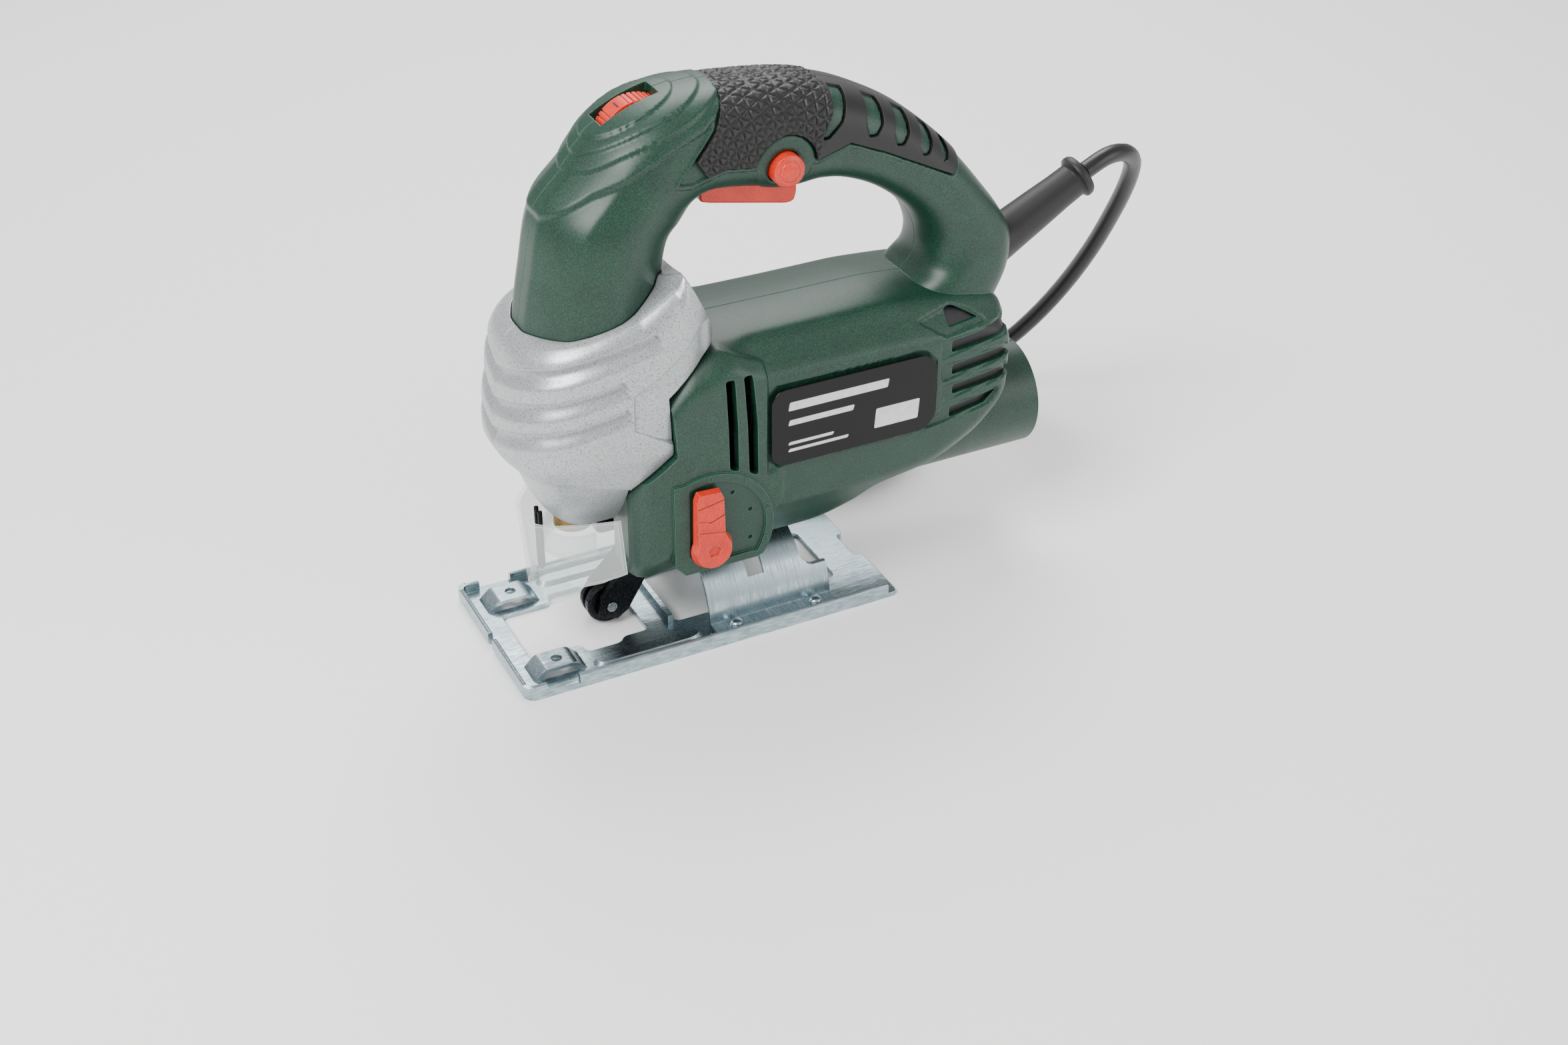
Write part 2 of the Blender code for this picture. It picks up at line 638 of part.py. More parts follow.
def plunger_group():
    """Reciprocating rod with its yoke, the blade clamp on its end, and the two bushes it slides in."""
    x = PLUNGER_X
    rod = add("plunger", cylinder_mesh((x, 0, 60.3), (x, 0, 156), PLUNGER_RADIUS, sides=20), STEEL)
    yoke = helper("yoke_solid", box_mesh((x - 3, -17, 117), (x + 8.5, 17, 131), 2, 1))
    boolean(rod, yoke, "UNION")
    boolean(rod, helper("yoke_slot", box_mesh((x + 5, -14.5, 118.5), (x + 20, 14.5, 129.5))))
    put_origin(rod, x, 0, 60)
    clamp = add("blade_clamp", cylinder_mesh((x, 0, 46), (x, 0, 60), 7, sides=24), BRONZE)
    cut(clamp, box_mesh((x - 4, -0.8, 40), (x + 4, 0.8, 56)))
    put_origin(clamp, x, 0, 60)
    add("upper_bush", ring_mesh((x, 0, 138), (x, 0, 146), PLUNGER_RADIUS + GAP, 9), BRONZE)
    add("lower_bush", ring_mesh((x, 0, 84), (x, 0, 94), PLUNGER_RADIUS + GAP, 9), BRONZE)


def controls():
    """Trigger, lock-on button, speed dial, switch, control board and the orbital lever."""
    trigger = add("trigger", outline_mesh(
        ((85, 164.5), (88, 163.6), (118, 157.6), (120.8, 158), (121.8, 161), (121.8, 172), (85, 172)),
        -6.5, 6.5), RED)
    put_origin(trigger, 85, 0, 170)
    add("switch", box_mesh((88, -7.5, 178.5), (121, 7.5, 196), 1.2, 1), NYLON, smooth=False)
    lock_x, lock_z = LOCK_BUTTON
    button = add("lock_button", turned_mesh(
        [(0, 0), (LOCK_RADIUS, 0), (LOCK_RADIUS, 9), (LOCK_RADIUS - 1, 10.6), (0, 11.4)],
        (lock_x, -12, lock_z), (0, -1, 0), 24), RED)
    put_origin(button, lock_x, -12, lock_z)
    dial = add("speed_dial", dial_mesh(), RED)
    put_origin(dial, DIAL_CENTRE[0], 0, DIAL_CENTRE[1])
    dial_x, dial_z = DIAL_CENTRE
    cylinder("dial_pin", (dial_x, -6.5, dial_z), (dial_x, 6.5, dial_z), 2, STEEL, 12)
    add("control_board", box_mesh((34, -14, 160), (62, 14, 161.6)), GREEN, smooth=False)
    lever = add("orbital_lever", lever_mesh(), RED)
    put_origin(lever, LEVER_PIVOT[0], -LEVER_OUT[0], LEVER_PIVOT[1])


def dial_mesh():
    """Thumb wheel with a ribbed rim and a bore for its pin."""
    ribs = 36
    points = [((DIAL_RADIUS - (0.7 if i % 2 else 0)) * math.cos(math.pi * i / ribs) + DIAL_CENTRE[0],
               (DIAL_RADIUS - (0.7 if i % 2 else 0)) * math.sin(math.pi * i / ribs) + DIAL_CENTRE[1])
              for i in range(2 * ribs)]
    return outline_mesh(points, -4.7, 4.7, "XZ", holes=[circle(DIAL_CENTRE, 2.3, 12)])


def lever_mesh():
    """Orbital lever: a round end with a straight pointer, and the stub that goes through the wall."""
    hub_x, hub_z = LEVER_HUB
    near, far = LEVER_OUT
    sweep = np.radians(np.linspace(150, 390, 15))
    hub = [(hub_x + 8 * math.cos(t), hub_z + 8 * math.sin(t)) for t in sweep]
    pointer = [(hub_x + 4.6, hub_z + 7), (hub_x + 4, hub_z + 22), (hub_x + 3, hub_z + 24.3),
               (hub_x - 5.5, hub_z + 24.8), (hub_x - 6.4, hub_z + 22)]
    body = helper("lever_solid", outline_mesh(hub + pointer, -far, -near))
    px, pz = LEVER_PIVOT
    stub = cylinder_mesh((px, -near - 1, pz), (px, -26, pz), 4, sides=16)
    boolean(body, helper("lever_stub", stub), "UNION")
    mesh = baked(body)
    body.modifiers.clear()
    return mesh


def lever_rim():
    """Raised D rim that the orbital lever turns in: an arc about the pivot, a straight front and foot."""
    px, pz = LEVER_PIVOT
    loops = []
    for radius, front, foot, top in ((LEVER_RIM, 60.2, 34.5, 71.6), (LEVER_RIM - 3, 66, 37.5, 67.4)):
        arc = [(px + radius * math.cos(t), pz + 1 + radius * math.sin(t))
               for t in np.linspace(math.radians(98), math.radians(-30), 14)]
        loops.append(arc + [(px + radius * 0.72, foot), (front + 4, foot), (front, foot + 4.5), (front, top)])
    return outline_mesh(loops[0], -RIM_OUT, -28.5, holes=[loops[1]])


def roller_group():
    """Orbital fork hanging from its pivot pin, the grooved blade roller and its axle."""
    x, z = ROLLER_CENTRE
    px, pz = FORK_PIVOT
    arm = ((x - 5.5, z - 3), (x + 2, z - 6), (x + 6.5, z - 3), (px - 1, 22), (px + 5.5, 34),
           (px + 5.5, pz + 4), (px - 5.5, pz + 4),
           (px - 6, 33), (px - 10, 25), (x - 4, z + 5))
    cheeks = [outline_mesh(arm, a, b, holes=[circle((x, z), 2.3, 12), circle((px, pz), 2.8, 12)])
              for a, b in ((-7, -4.6), (4.6, 7))]
    bridge = box_mesh((px - 5, -6, 29), (px + 4.5, 6, 33.5))
    fork = helper("fork_cheek", cheeks[0])
    boolean(fork, helper("fork_cheek_far", cheeks[1]), "UNION")
    boolean(fork, helper("fork_bridge", bridge), "UNION")
    solid = add("roller_fork", baked(fork), DARK, smooth=False)
    fork.modifiers.clear()
    put_origin(solid, px, 0, pz)
    r = ROLLER_RADIUS
    wheel = add("blade_roller", turned_mesh(
        [(2.3, -4.2), (r - 0.6, -4.2), (r, -3.6), (r, -1.2), (r - 2.4, -0.7), (r - 2.4, 0.7), (r, 1.2), (r, 3.6),
         (r - 0.6, 4.2), (2.3, 4.2)], (x, 0, z), (0, 1, 0), 24), DARK)
    put_origin(wheel, x, 0, z)
    cylinder("roller_pin", (x, -7.4, z), (x, 7.4, z), 2, STEEL, 16)
    cylinder("fork_pin", (px, -11, pz), (px, 11, pz), 2.5, STEEL, 16)


def guard():
    """Clear blade guard: a bow-fronted sheet that follows a V in plan, open below and behind."""
    def plan(z, gap):
        """Half of the plan line at one height, from the middle of the front to the rear edge."""
        lean = (z - 20) * -0.08
        front = 19 + lean + gap
        return [(front, 0), (front + 0.3, 9 - gap * 0.5), (31 + lean * 0.6 + gap, 20 - gap), (44, 29.5 - gap)]

    heights = (19.5, 34, 50, 63)
    sheet = []
    for gap in (0.0, 1.6):
        for z in heights:
            half = plan(z, gap)
            full = [(px, -py) for px, py in half[::-1]] + half[1:]
            sheet.append([(px, py, z) for px, py in full])
    outer, inner = sheet[:4], sheet[4:]

    def build(work):
        grid = [[[work.verts.new(p) for p in row] for row in layer] for layer in (outer, inner)]
        rows, columns = len(heights), len(outer[0])
        for layer in grid:
            for i in range(rows - 1):
                for j in range(columns - 1):
                    work.faces.new((layer[i][j], layer[i][j + 1], layer[i + 1][j + 1], layer[i + 1][j]))
        for i in range(rows - 1):
            for j in (0, columns - 1):
                work.faces.new((grid[0][i][j], grid[0][i + 1][j], grid[1][i + 1][j], grid[1][i][j]))
        for j in range(columns - 1):
            for i in (0, rows - 1):
                work.faces.new((grid[0][i][j], grid[0][i][j + 1], grid[1][i][j + 1], grid[1][i][j]))

    cover = add("blade_guard", mesh_from(build), CLEAR, smooth=False)
    rise = outline_mesh(((24, 0), (24, 19.5), (31, 31), (44, 37), (60, 37), (60, 0)), -60, 60)
    slot = outline_mesh(((-5.5, 70), (5.5, 70), (0.8, 30), (-0.8, 30)), 0, 30, "YZ")
    cut(cover, rise, slot, outline_mesh(((0, 70), (0, 55), (24, 55), (60, 66), (60, 80)), -60, 60))
    bend = ((-1.8, 55), (-1.8, 34), (-1.5, 31), (0, 30), (1.5, 31), (1.8, 34), (1.8, 55))
    wire = [(22, y, z) for y, z in bend]
    add("finger_wire", tube_mesh(wire, 0.9), DARK)


def base_group():
    """Pressed sole plate with upturned rims, its tilting bracket, rivets and clamp screw."""
    w, length = BASE_HALF_WIDTH, BASE_LENGTH
    sole = ((3, -w), (length - 3.5, -w), (length, -w + 3.5), (length, -8), (length - 3.5, -8), (length - 3.5, 8),
            (length, 8), (length, w - 3.5), (length - 3.5, w), (3, w), (0, w - 3), (0, -w + 3))
    front_window = ((10, -15), (30, -15), (30, -20), (44, -20), (45, -17), (56, -17), (56, 17), (45, 17), (44, 20),
                    (30, 20), (30, 15), (10, 15))
    rear_window = ((67, -17), (135, -17), (135, 17), (67, 17))
    plate = add("base_plate", outline_mesh(sole, 0, SHEET, "XY"), ZINC, smooth=False)
    cut(plate, outline_mesh(front_window, -1, SHEET + 1, "XY"), outline_mesh(rear_window, -1, SHEET + 1, "XY"))
    rims = []
    for side in (-1, 1):
        edge = (side * (w - 2.1), side * (w - 0.05))
        rims.append(box_mesh((21, min(edge), 0.4), (length - 3.7, max(edge), RIM_TOP)))
        rims.append(box_mesh((3.3, min(edge), 0.5), (8.5, max(edge), RIM_TOP - 0.1)))
        rims.append(bridge_mesh(side))
        lip = (side * 2, side * (w - 3.4))
        rims.append(box_mesh((0.05, min(lip), 0.6), (2.1, max(lip), RIM_TOP - 0.2)))
    rims.append(box_mesh((64.3, -16.6, 0.4), (66.7, 16.6, 5)))
    join(plate, *rims)
    for side, word in ((-1, "left"), (1, "right")):
        hole = cylinder_mesh((17, side * 23.5, 3), (17, side * 23.5, 8), 2, sides=12)
        boolean(plate, helper("fence_hole_" + word, hole))
    bracket_group()


def bridge_mesh(side):
    """Raised strap for the rip fence bar: two sloped feet and a flat top."""
    profile = ((6, 1.5), (11, RIM_TOP), (22, RIM_TOP), (27, 1.5), (25.2, 1.5), (21.2, RIM_TOP - 1.7),
               (11.8, RIM_TOP - 1.7), (7.8, 1.5))
    edge = (side * 18.5, side * 28.5)
    return outline_mesh(profile, min(edge), max(edge))


def bracket_group():
    """Arch that carries the housing, its tilting slot, four rivets, and the clamp screw with its washer."""
    r, thickness = ARCH_RADIUS, 1.5
    front, rear = ARCH_X
    foot = SHEET + GAP
    angles = np.linspace(math.pi, 0, 19)
    outer = [(r * math.cos(t), ARCH_CENTRE_Z + r * math.sin(t)) for t in angles]
    bore = r - thickness
    inner = [(bore * math.cos(t), ARCH_CENTRE_Z + bore * math.sin(t)) for t in angles[::-1]]
    wing = 33.8
    left = [(-wing, foot), (-wing, foot + thickness), (-r - 0.4, foot + thickness)]
    right = [(r + 0.4, foot + thickness), (wing, foot + thickness), (wing, foot), (r - thickness, foot)]
    section = left + outer[1:-1] + right + inner[1:-1] + [(-r + thickness, foot)]
    bracket = add("tilt_bracket", outline_mesh(section, front, rear, "YZ"), ZINC, smooth=False)
    slot = outline_mesh([(0, 0), (-44, 34), (-30, 50), (30, 50), (44, 34)], CLAMP_X - 3.4, CLAMP_X + 3.4, "YZ")
    notch = outline_mesh([(117, 40), (117, 19), (120, 16), (130, 16), (130, 40)], -40, 40)
    cut(bracket, slot, notch)
    base = foot + thickness + GAP
    for x, end in zip(RIVET_X, ("front", "rear")):
        for side, word in ((-1, "left"), (1, "right")):
            head = turned_mesh([(0, 0), (2.5, 0), (2.3, 0.8), (1.4, 1.5), (0, 1.7)], (x, side * 30.6, base),
                               (0, 0, 1), 12)
            put_origin(add(f"rivet_{end}_{word}", head, ZINC), 0, 0, 0)
    head_top = ARCH_CENTRE_Z + r - thickness - GAP
    add("clamp_washer", ring_mesh((CLAMP_X, 0, head_top - 2.5), (CLAMP_X, 0, head_top - 1.0), 3.0, 7), ZINC)
    head = cylinder_mesh((CLAMP_X, 0, head_top - 9), (CLAMP_X, 0, head_top - 2.8), 4.5, sides=16)
    shank = cylinder_mesh((CLAMP_X, 0, head_top - 4), (CLAMP_X, 0, 42), 2.6, sides=12)
    socket = cylinder_mesh((CLAMP_X, 0, 10), (CLAMP_X, 0, head_top - 5.5), 2.4, sides=6)
    screw = helper("clamp_screw_head", head)
    boolean(screw, helper("clamp_screw_shank", shank), "UNION")
    boolean(screw, helper("clamp_screw_socket", socket))
    add("clamp_screw", baked(screw), STEEL)
    screw.modifiers.clear()
    nut = ring_mesh((CLAMP_X, 0, 34.3), (CLAMP_X, 0, 39.3), 3.0, 5.5, 6)
    add("clamp_nut", nut, ZINC, smooth=False)


def trim():
    """Label plates, housing screws and the strain relief."""
    label = ((102, 70), (161, 70), (165.5, 74.5), (165.5, 96.5),
             (161, 101), (102, 101), (98.5, 97.5), (98.5, 73.5))
    for side, word in ((-1, "left"), (1, "right")):
        low, high = (-34.2, -33.1 - GAP * 0.7) if side < 0 else (33.1 + GAP * 0.7, 34.2)
        add("label_plate_" + word, outline_mesh(label, low, high), LABEL, smooth=False)
    for number, (x, z) in enumerate(((56, 62), (146, 108), (110, 38), (174, 62)), 1):
        head = turned_mesh([(0, 0), (3.4, 0), (3.4, 1.2), (2.6, 2.2), (0, 2.2)], (x, 33.3, z), (0, 1, 0), 12)
        add(f"housing_screw_{number}", head, DARK)


def lead():
    """Strain relief, mains lead, its stored coil and the plug."""
    a, b = (np.array(p, float) for p in BOOT_AXIS)
    steps = (0, 0.12, 0.13, 0.5, 0.93, 0.97, 1.0)
    radii = (9.2, 9.2, 8.6, 7.4, 6.6, 8.2, 7.8)
    points = [tuple(a + (b - a) * t) for t in steps]
    add("cable_boot", turned_mesh(
        [(0, 0)] + [(r, t * float(np.linalg.norm(b - a))) for t, r in zip(steps, radii)]
        + [(0, float(np.linalg.norm(b - a)))], points[0], tuple(b - a), 20), RUBBER)
    add("power_cord", tube_mesh(spline_points(CORD_ROUTE, 40), CORD_DIAMETER / 2, 2), RUBBER)
    add("cord_tail", tube_mesh(spline_points(TAIL_ROUTE, 8), CORD_DIAMETER / 2, 2), RUBBER)
    ring = [(COIL_INNER, 0.3), (COIL_OUTER, 0.3), (COIL_OUTER, COIL_HEIGHT), (COIL_INNER, COIL_HEIGHT)]
    add("cord_coil", turned_mesh(ring, (*COIL_CENTRE, 0), (0, 0, 1), 40), RUBBER)
    x, y = PLUG_TAIL
    outline = ((0, -3.4), (5, -5), (11, -13), (19, -16.5), (35, -17), (39, -15), (39, 15), (35, 17), (19, 16.5),
               (11, 13), (5, 5), (0, 3.4))
    placed = [(x - along, y + across) for along, across in outline]
    body = helper("plug_solid", outline_mesh(placed, 0.3, 15.3, "XY"))
    for side in (-1, 1):
        pin = cylinder_mesh((x - 37, y + side * 9.5, 7.8), (x - 58, y + side * 9.5, 7.8), 2.4, sides=12)
        boolean(body, helper(f"plug_pin_{side}", pin), "UNION")
    add("plug", baked(body), RUBBER)
    body.modifiers.clear()


def finish_origins():
    """Origins of the turning pieces on their joint axes."""
    for name in ("armature_shaft", "armature_core", "winding_front", "winding_rear",
                 "commutator", "cooling_fan"):
        put_origin(bpy.data.objects[name], 70, 0, MOTOR_Z)
    for name in ("gear_shaft", "crank_disc", "crank_roller"):
        put_origin(bpy.data.objects[name], 70, 0, GEAR_Z)
    put_origin(bpy.data.objects["roller_pin"], FORK_PIVOT[0], 0, FORK_PIVOT[1])
    for name in ("base_plate", "tilt_bracket"):
        put_origin(bpy.data.objects[name], 0, 0, 0)


open_housing(housing_halves())
for side, word in ((-1, "left"), (1, "right")):
    grip_overmould(side, word)
drive_train()
plunger_group()
controls()
roller_group()
guard()
base_group()
trim()
lead()
finish_origins()
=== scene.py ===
# %% [markdown]
# # A D-handle jigsaw
# The tool is a hollow green clamshell around a motor, with a painted metal-look gear cover in front, a soft
# black grip, red controls and a pressed steel base.  The engineering model arrives as a fixed frame.  This
# script puts the fine surfaces and finishes around it, one piece at a time, and never moves the frame.

# %% Load the frame
import bpy
import bmesh
import json
import math
import numpy as np
from mathutils import Matrix, Vector

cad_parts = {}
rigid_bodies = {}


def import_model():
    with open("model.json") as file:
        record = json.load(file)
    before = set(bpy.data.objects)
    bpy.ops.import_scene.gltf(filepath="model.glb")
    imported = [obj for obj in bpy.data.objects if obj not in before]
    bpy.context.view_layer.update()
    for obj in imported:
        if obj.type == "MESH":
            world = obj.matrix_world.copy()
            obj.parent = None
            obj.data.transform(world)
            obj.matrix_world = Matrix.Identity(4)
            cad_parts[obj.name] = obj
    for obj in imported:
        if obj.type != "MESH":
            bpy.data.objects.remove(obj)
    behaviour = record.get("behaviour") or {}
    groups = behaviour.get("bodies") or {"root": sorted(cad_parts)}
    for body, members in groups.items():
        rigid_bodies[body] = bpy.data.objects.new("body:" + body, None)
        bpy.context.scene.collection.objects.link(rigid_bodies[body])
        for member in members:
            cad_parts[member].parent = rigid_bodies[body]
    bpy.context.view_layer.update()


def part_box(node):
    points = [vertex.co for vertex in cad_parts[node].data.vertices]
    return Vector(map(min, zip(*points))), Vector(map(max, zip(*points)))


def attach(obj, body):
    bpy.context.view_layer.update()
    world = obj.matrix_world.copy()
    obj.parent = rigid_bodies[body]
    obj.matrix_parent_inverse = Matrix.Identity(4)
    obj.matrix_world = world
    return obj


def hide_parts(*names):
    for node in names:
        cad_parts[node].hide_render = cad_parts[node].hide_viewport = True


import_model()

# %% [markdown]
# The tool is drawn in millimetres from the front edge of its base, which is how a maker would measure it.
# `world` turns such points into the frame's metres.  Left is -Y, and the seam between the halves is y = 0.

# %% Units and small measures
MM = 0.001
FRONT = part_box("base_plate")[0].x
SEAM = 0.15                      # half of the parting gap between two mouldings
SIDES = ((-1, "left"), (1, "right"))


def world(points):
    """Tool millimetres to world metres: scale by 0.001, then shift X by the base's front edge."""
    return np.asarray(points, float) * MM + (FRONT, 0, 0)


def ramp(low, high, value):
    """Smooth step: 3t^2 - 2t^3 with t = (value - low) / (high - low) held between 0 and 1."""
    t = np.clip((np.asarray(value, float) - low) / (high - low), 0, 1)
    return t * t * (3 - 2 * t)


print("base front edge at", round(FRONT, 4), "m")

# %% [markdown]
# ## Camera
# A normal lens stands about 0.8 m from the tool, to the front left and well above it, and is rolled by half
# a degree.  Its back axis comes from azimuth and elevation, and its place is given along its own axes.

# %% Camera
AZIMUTH, ELEVATION, ROLL = math.radians(-27.2), math.radians(33.3), math.radians(0.5)
SUBJECT = (-108.2, -46.6, 780.2)     # tool origin seen from the lens, in mm: right, up, ahead

back = np.array([math.sin(AZIMUTH) * math.cos(ELEVATION), -math.cos(AZIMUTH) * math.cos(ELEVATION),
                 math.sin(ELEVATION)])
right = np.cross([0, 0, 1], back)
right /= np.linalg.norm(right)
up = np.cross(back, right)
right, up = (right * math.cos(ROLL) + up * math.sin(ROLL), up * math.cos(ROLL) - right * math.sin(ROLL))
eye = -SUBJECT[0] * right - SUBJECT[1] * up + SUBJECT[2] * back

lens = bpy.data.cameras.new("camera")
lens.lens = 48.6
lens.sensor_width = 36
lens.clip_start = 0.05
camera = bpy.data.objects.new("camera", lens)
bpy.context.scene.collection.objects.link(camera)
camera.matrix_world = Matrix.Translation(world(eye)) @ Matrix(np.stack([right, up, back], 1)).to_4x4()
bpy.context.scene.camera = camera
print("camera at", [round(c, 3) for c in camera.location])

# %% [markdown]
# ## Node materials
# Every finish is a small shader network.  One helper adds a node, sets its sockets and links the ones that
# another socket drives.  Colours are written as sRGB hex, as a paint chart gives them, and turned to linear.


# %% Material helpers
def linear(colour):
    """sRGB hex to linear RGBA: c / 12.92 below 0.04045, ((c + 0.055) / 1.055)^2.4 above."""
    channel = np.array([int(colour[i:i + 2], 16) / 255 for i in (1, 3, 5)])
    light = np.where(channel <= 0.04045, channel / 12.92, ((channel + 0.055) / 1.055) ** 2.4)
    return (*light.tolist(), 1.0)


def node(material, kind, settings=(), **inputs):
    """Add a node: settings are its properties, inputs its sockets (_ for a space) with a value or socket."""
    made = material.node_tree.nodes.new(kind)
    for key, value in dict(settings).items():
        setattr(made, key, value)
    for key, value in inputs.items():
        socket = made.inputs[int(key[1:])] if key[0] == "_" else made.inputs[key.replace("_", " ")]
        if isinstance(value, bpy.types.NodeSocket):
            material.node_tree.links.new(value, socket)
        else:
            socket.default_value = value
    return made


def link(material, start, end):
    """Join two sockets."""
    material.node_tree.links.new(start, end)


def new_finish(name, **principled):
    """Empty material with a Principled shader on its output, and object-space coordinates to build on."""
    made = bpy.data.materials.new(name)
    made.use_nodes = True
    made.node_tree.nodes.clear()
    shader = node(made, "ShaderNodeBsdfPrincipled", **principled)
    output = node(made, "ShaderNodeOutputMaterial")
    link(made, shader.outputs[0], output.inputs[0])
    return made, shader, node(made, "ShaderNodeTexCoord").outputs["Object"]


def fade(material, value, stops):
    """Colour ramp: stops are (position, hex colour)."""
    made = node(material, "ShaderNodeValToRGB", _0=value)
    points = made.color_ramp.elements
    while len(points) < len(stops):
        points.new(0.5)
    for point, (position, colour) in zip(points, stops):
        point.position = position
        point.color = linear(colour)
    return made.outputs[0]


def noise(material, place, size, detail=2.0, roughness=0.5):
    """Noise whose grains are about size millimetres across."""
    made = node(material, "ShaderNodeTexNoise", Vector=place, Scale=1 / (size * MM), Detail=detail,
                Roughness=roughness)
    return made.outputs[0]


def edge_light(material, radius, gain):
    """0 on faces, up to 1 on edges: how far a normal rounded over radius mm turns from the true one."""
    soft = node(material, "ShaderNodeBevel", {"samples": 4}, Radius=radius * MM)
    true = node(material, "ShaderNodeNewGeometry").outputs["Normal"]
    match = node(material, "ShaderNodeVectorMath", {"operation": "DOT_PRODUCT"}, _0=soft.outputs[0], _1=true)
    turned = node(material, "ShaderNodeMath", {"operation": "SUBTRACT"}, _0=1.0, _1=match.outputs["Value"])
    scaled = node(material, "ShaderNodeMath", {"operation": "MULTIPLY", "use_clamp": True},
                  _0=turned.outputs[0], _1=gain)
    return scaled.outputs[0], soft.outputs[0]


def edge_highlight(material, colour, edge, radius, gain):
    """Painted edge highlight: mix a colour towards a paler one on edges, and hand it back with the rounded
    normal.
    """
    share, soft = edge_light(material, radius, gain)
    # Painted highlight: on edges the colour turns towards the paler edge colour.
    highlit = node(material, "ShaderNodeMix", {"data_type": "RGBA"}, _0=share, _6=colour, _7=linear(edge))
    return highlit.outputs[2], soft


def surface(material, shader, colour, height, soft, strength, depth):
    """Give a shader its colour and, on top of a rounded normal, a bump of the given depth in mm."""
    link(material, colour, shader.inputs["Base Color"])
    bump = node(material, "ShaderNodeBump", Strength=strength, Distance=depth * MM, Height=height,
                Normal=soft)
    link(material, bump.outputs[0], shader.inputs["Normal"])


print("helpers ready")

# %% [markdown]
# ## The finishes
# ** Green ABS** is injection moulded against a spark-eroded tool, so it has a fine even grain that breaks the
# light into speckles, and its edges carry a painted highlight a little paler.  The real grain is about 0.15 mm,
# drawn here at 0.5 mm so that it shows, over faint clouds 7 mm wide.


# %% Moulded plastics
def grained_plastic(name, dark, mid, pale, edge, roughness, grain=0.5, depth=0.05, highlight_size=0.5, **extra):
    """Spark-grained moulding: grain varies colour and bump, clouds dull it, and a painted highlight turns edges
    paler.
    """
    made, shader, place = new_finish(name, Roughness=roughness, **extra)
    fine = noise(made, place, grain, 3, 0.65)
    coarse = noise(made, place, grain * 14, 2)
    body = fade(made, fine, ((0.36, dark), (0.5, mid), (0.66, pale)))
    cloud = fade(made, coarse, ((0.3, "#e8e8e8"), (0.7, "#ffffff")))
    tinted = node(made, "ShaderNodeMix", {"data_type": "RGBA", "blend_type": "MULTIPLY"}, Factor=1.0,
                  _6=body, _7=cloud)
    # Painted highlight: edges turn towards the paler edge colour.
    highlit, soft = edge_highlight(made, tinted.outputs[2], edge, highlight_size, 2.2)
    surface(made, shader, highlit, fine, soft, 0.35, depth)
    return made


# The last colour of each moulding is its painted edge highlight.
GREEN_ABS = grained_plastic("green_abs_spark_grain", "#08231a", "#0f3527", "#184936", "#4a8870", 0.42)
RED_ABS = grained_plastic("red_abs_moulded", "#c01f0e", "#d62c16", "#e13a22", "#ff7558", 0.32, depth=0.02)
BLACK_NYLON = grained_plastic("black_nylon_moulded", "#101113", "#17181a", "#222326", "#45474a", 0.5)

# %% [markdown]
# **Silver lacquer** on a plastic cover is aluminium flake in a clear binder: bright and grey at once, with
# dark pin-pricks where a flake lies edge on.  **Thermoplastic rubber** on the grip is a warm near-black
# with a soft sheen.


# %% Lacquer and rubber
def silver_lacquer():
    """Flake lacquer: pale grey, half metallic, with fine dark speckles and a painted highlight on its edges."""
    made, shader, place = new_finish("silver_flake_lacquer", Roughness=0.36, Metallic=0.55)
    flake = noise(made, place, 0.45, 2, 0.7)
    body = fade(made, flake, ((0.34, "#6f7375"), (0.43, "#a3a6a8"), (0.6, "#b9bcbe")))
    # Painted highlight: edges turn towards near-white.
    highlit, soft = edge_highlight(made, body, "#f2f3f4", 0.5, 1.6)
    surface(made, shader, highlit, flake, soft, 0.3, 0.03)
    return made


SILVER = silver_lacquer()
# The last colour of each is its painted edge highlight.
RUBBER = grained_plastic("black_tpe_rubber", "#070708", "#0d0d0d", "#151415", "#2c2b2c", 0.5, 0.35, 0.02)
CORD_PVC = grained_plastic("black_pvc_flex", "#060607", "#0b0c0d", "#131415", "#222325", 0.38, 0.6, 0.02)

# %% [markdown]
# **Bright zinc plate** on pressed steel is a cool bluish silver.  The strip keeps faint rolling streaks, and
# handling leaves duller clouds, so roughness and colour both wander.


# %% Metals
def plated_steel(name, dark, mid, pale, roughness, streak=(1, 1, 1), cloud=12.0):
    """Plated or ground steel: clouds of tarnish, and streaks where the grain is stretched along one axis."""
    made, shader, place = new_finish(name, Metallic=1.0)
    along = node(made, "ShaderNodeMapping", Vector=place, Scale=streak).outputs[0]
    grain = noise(made, along, 0.6, 3, 0.6)
    tarnish = noise(made, place, cloud, 4, 0.6)
    mixed = node(made, "ShaderNodeMix", {"data_type": "FLOAT"}, Factor=0.3, A=grain, B=tarnish)
    colour = fade(made, mixed.outputs[0], ((0.36, dark), (0.5, mid), (0.62, pale)))
    rough = node(made, "ShaderNodeMapRange", Value=mixed.outputs[0], From_Min=0.35, From_Max=0.65,
                 To_Min=roughness + 0.12, To_Max=roughness - 0.06)
    link(made, rough.outputs[0], shader.inputs["Roughness"])
    soft = node(made, "ShaderNodeBevel", {"samples": 4}, Radius=0.4 * MM)
    surface(made, shader, colour, grain, soft.outputs[0], 0.25, 0.03)
    return made


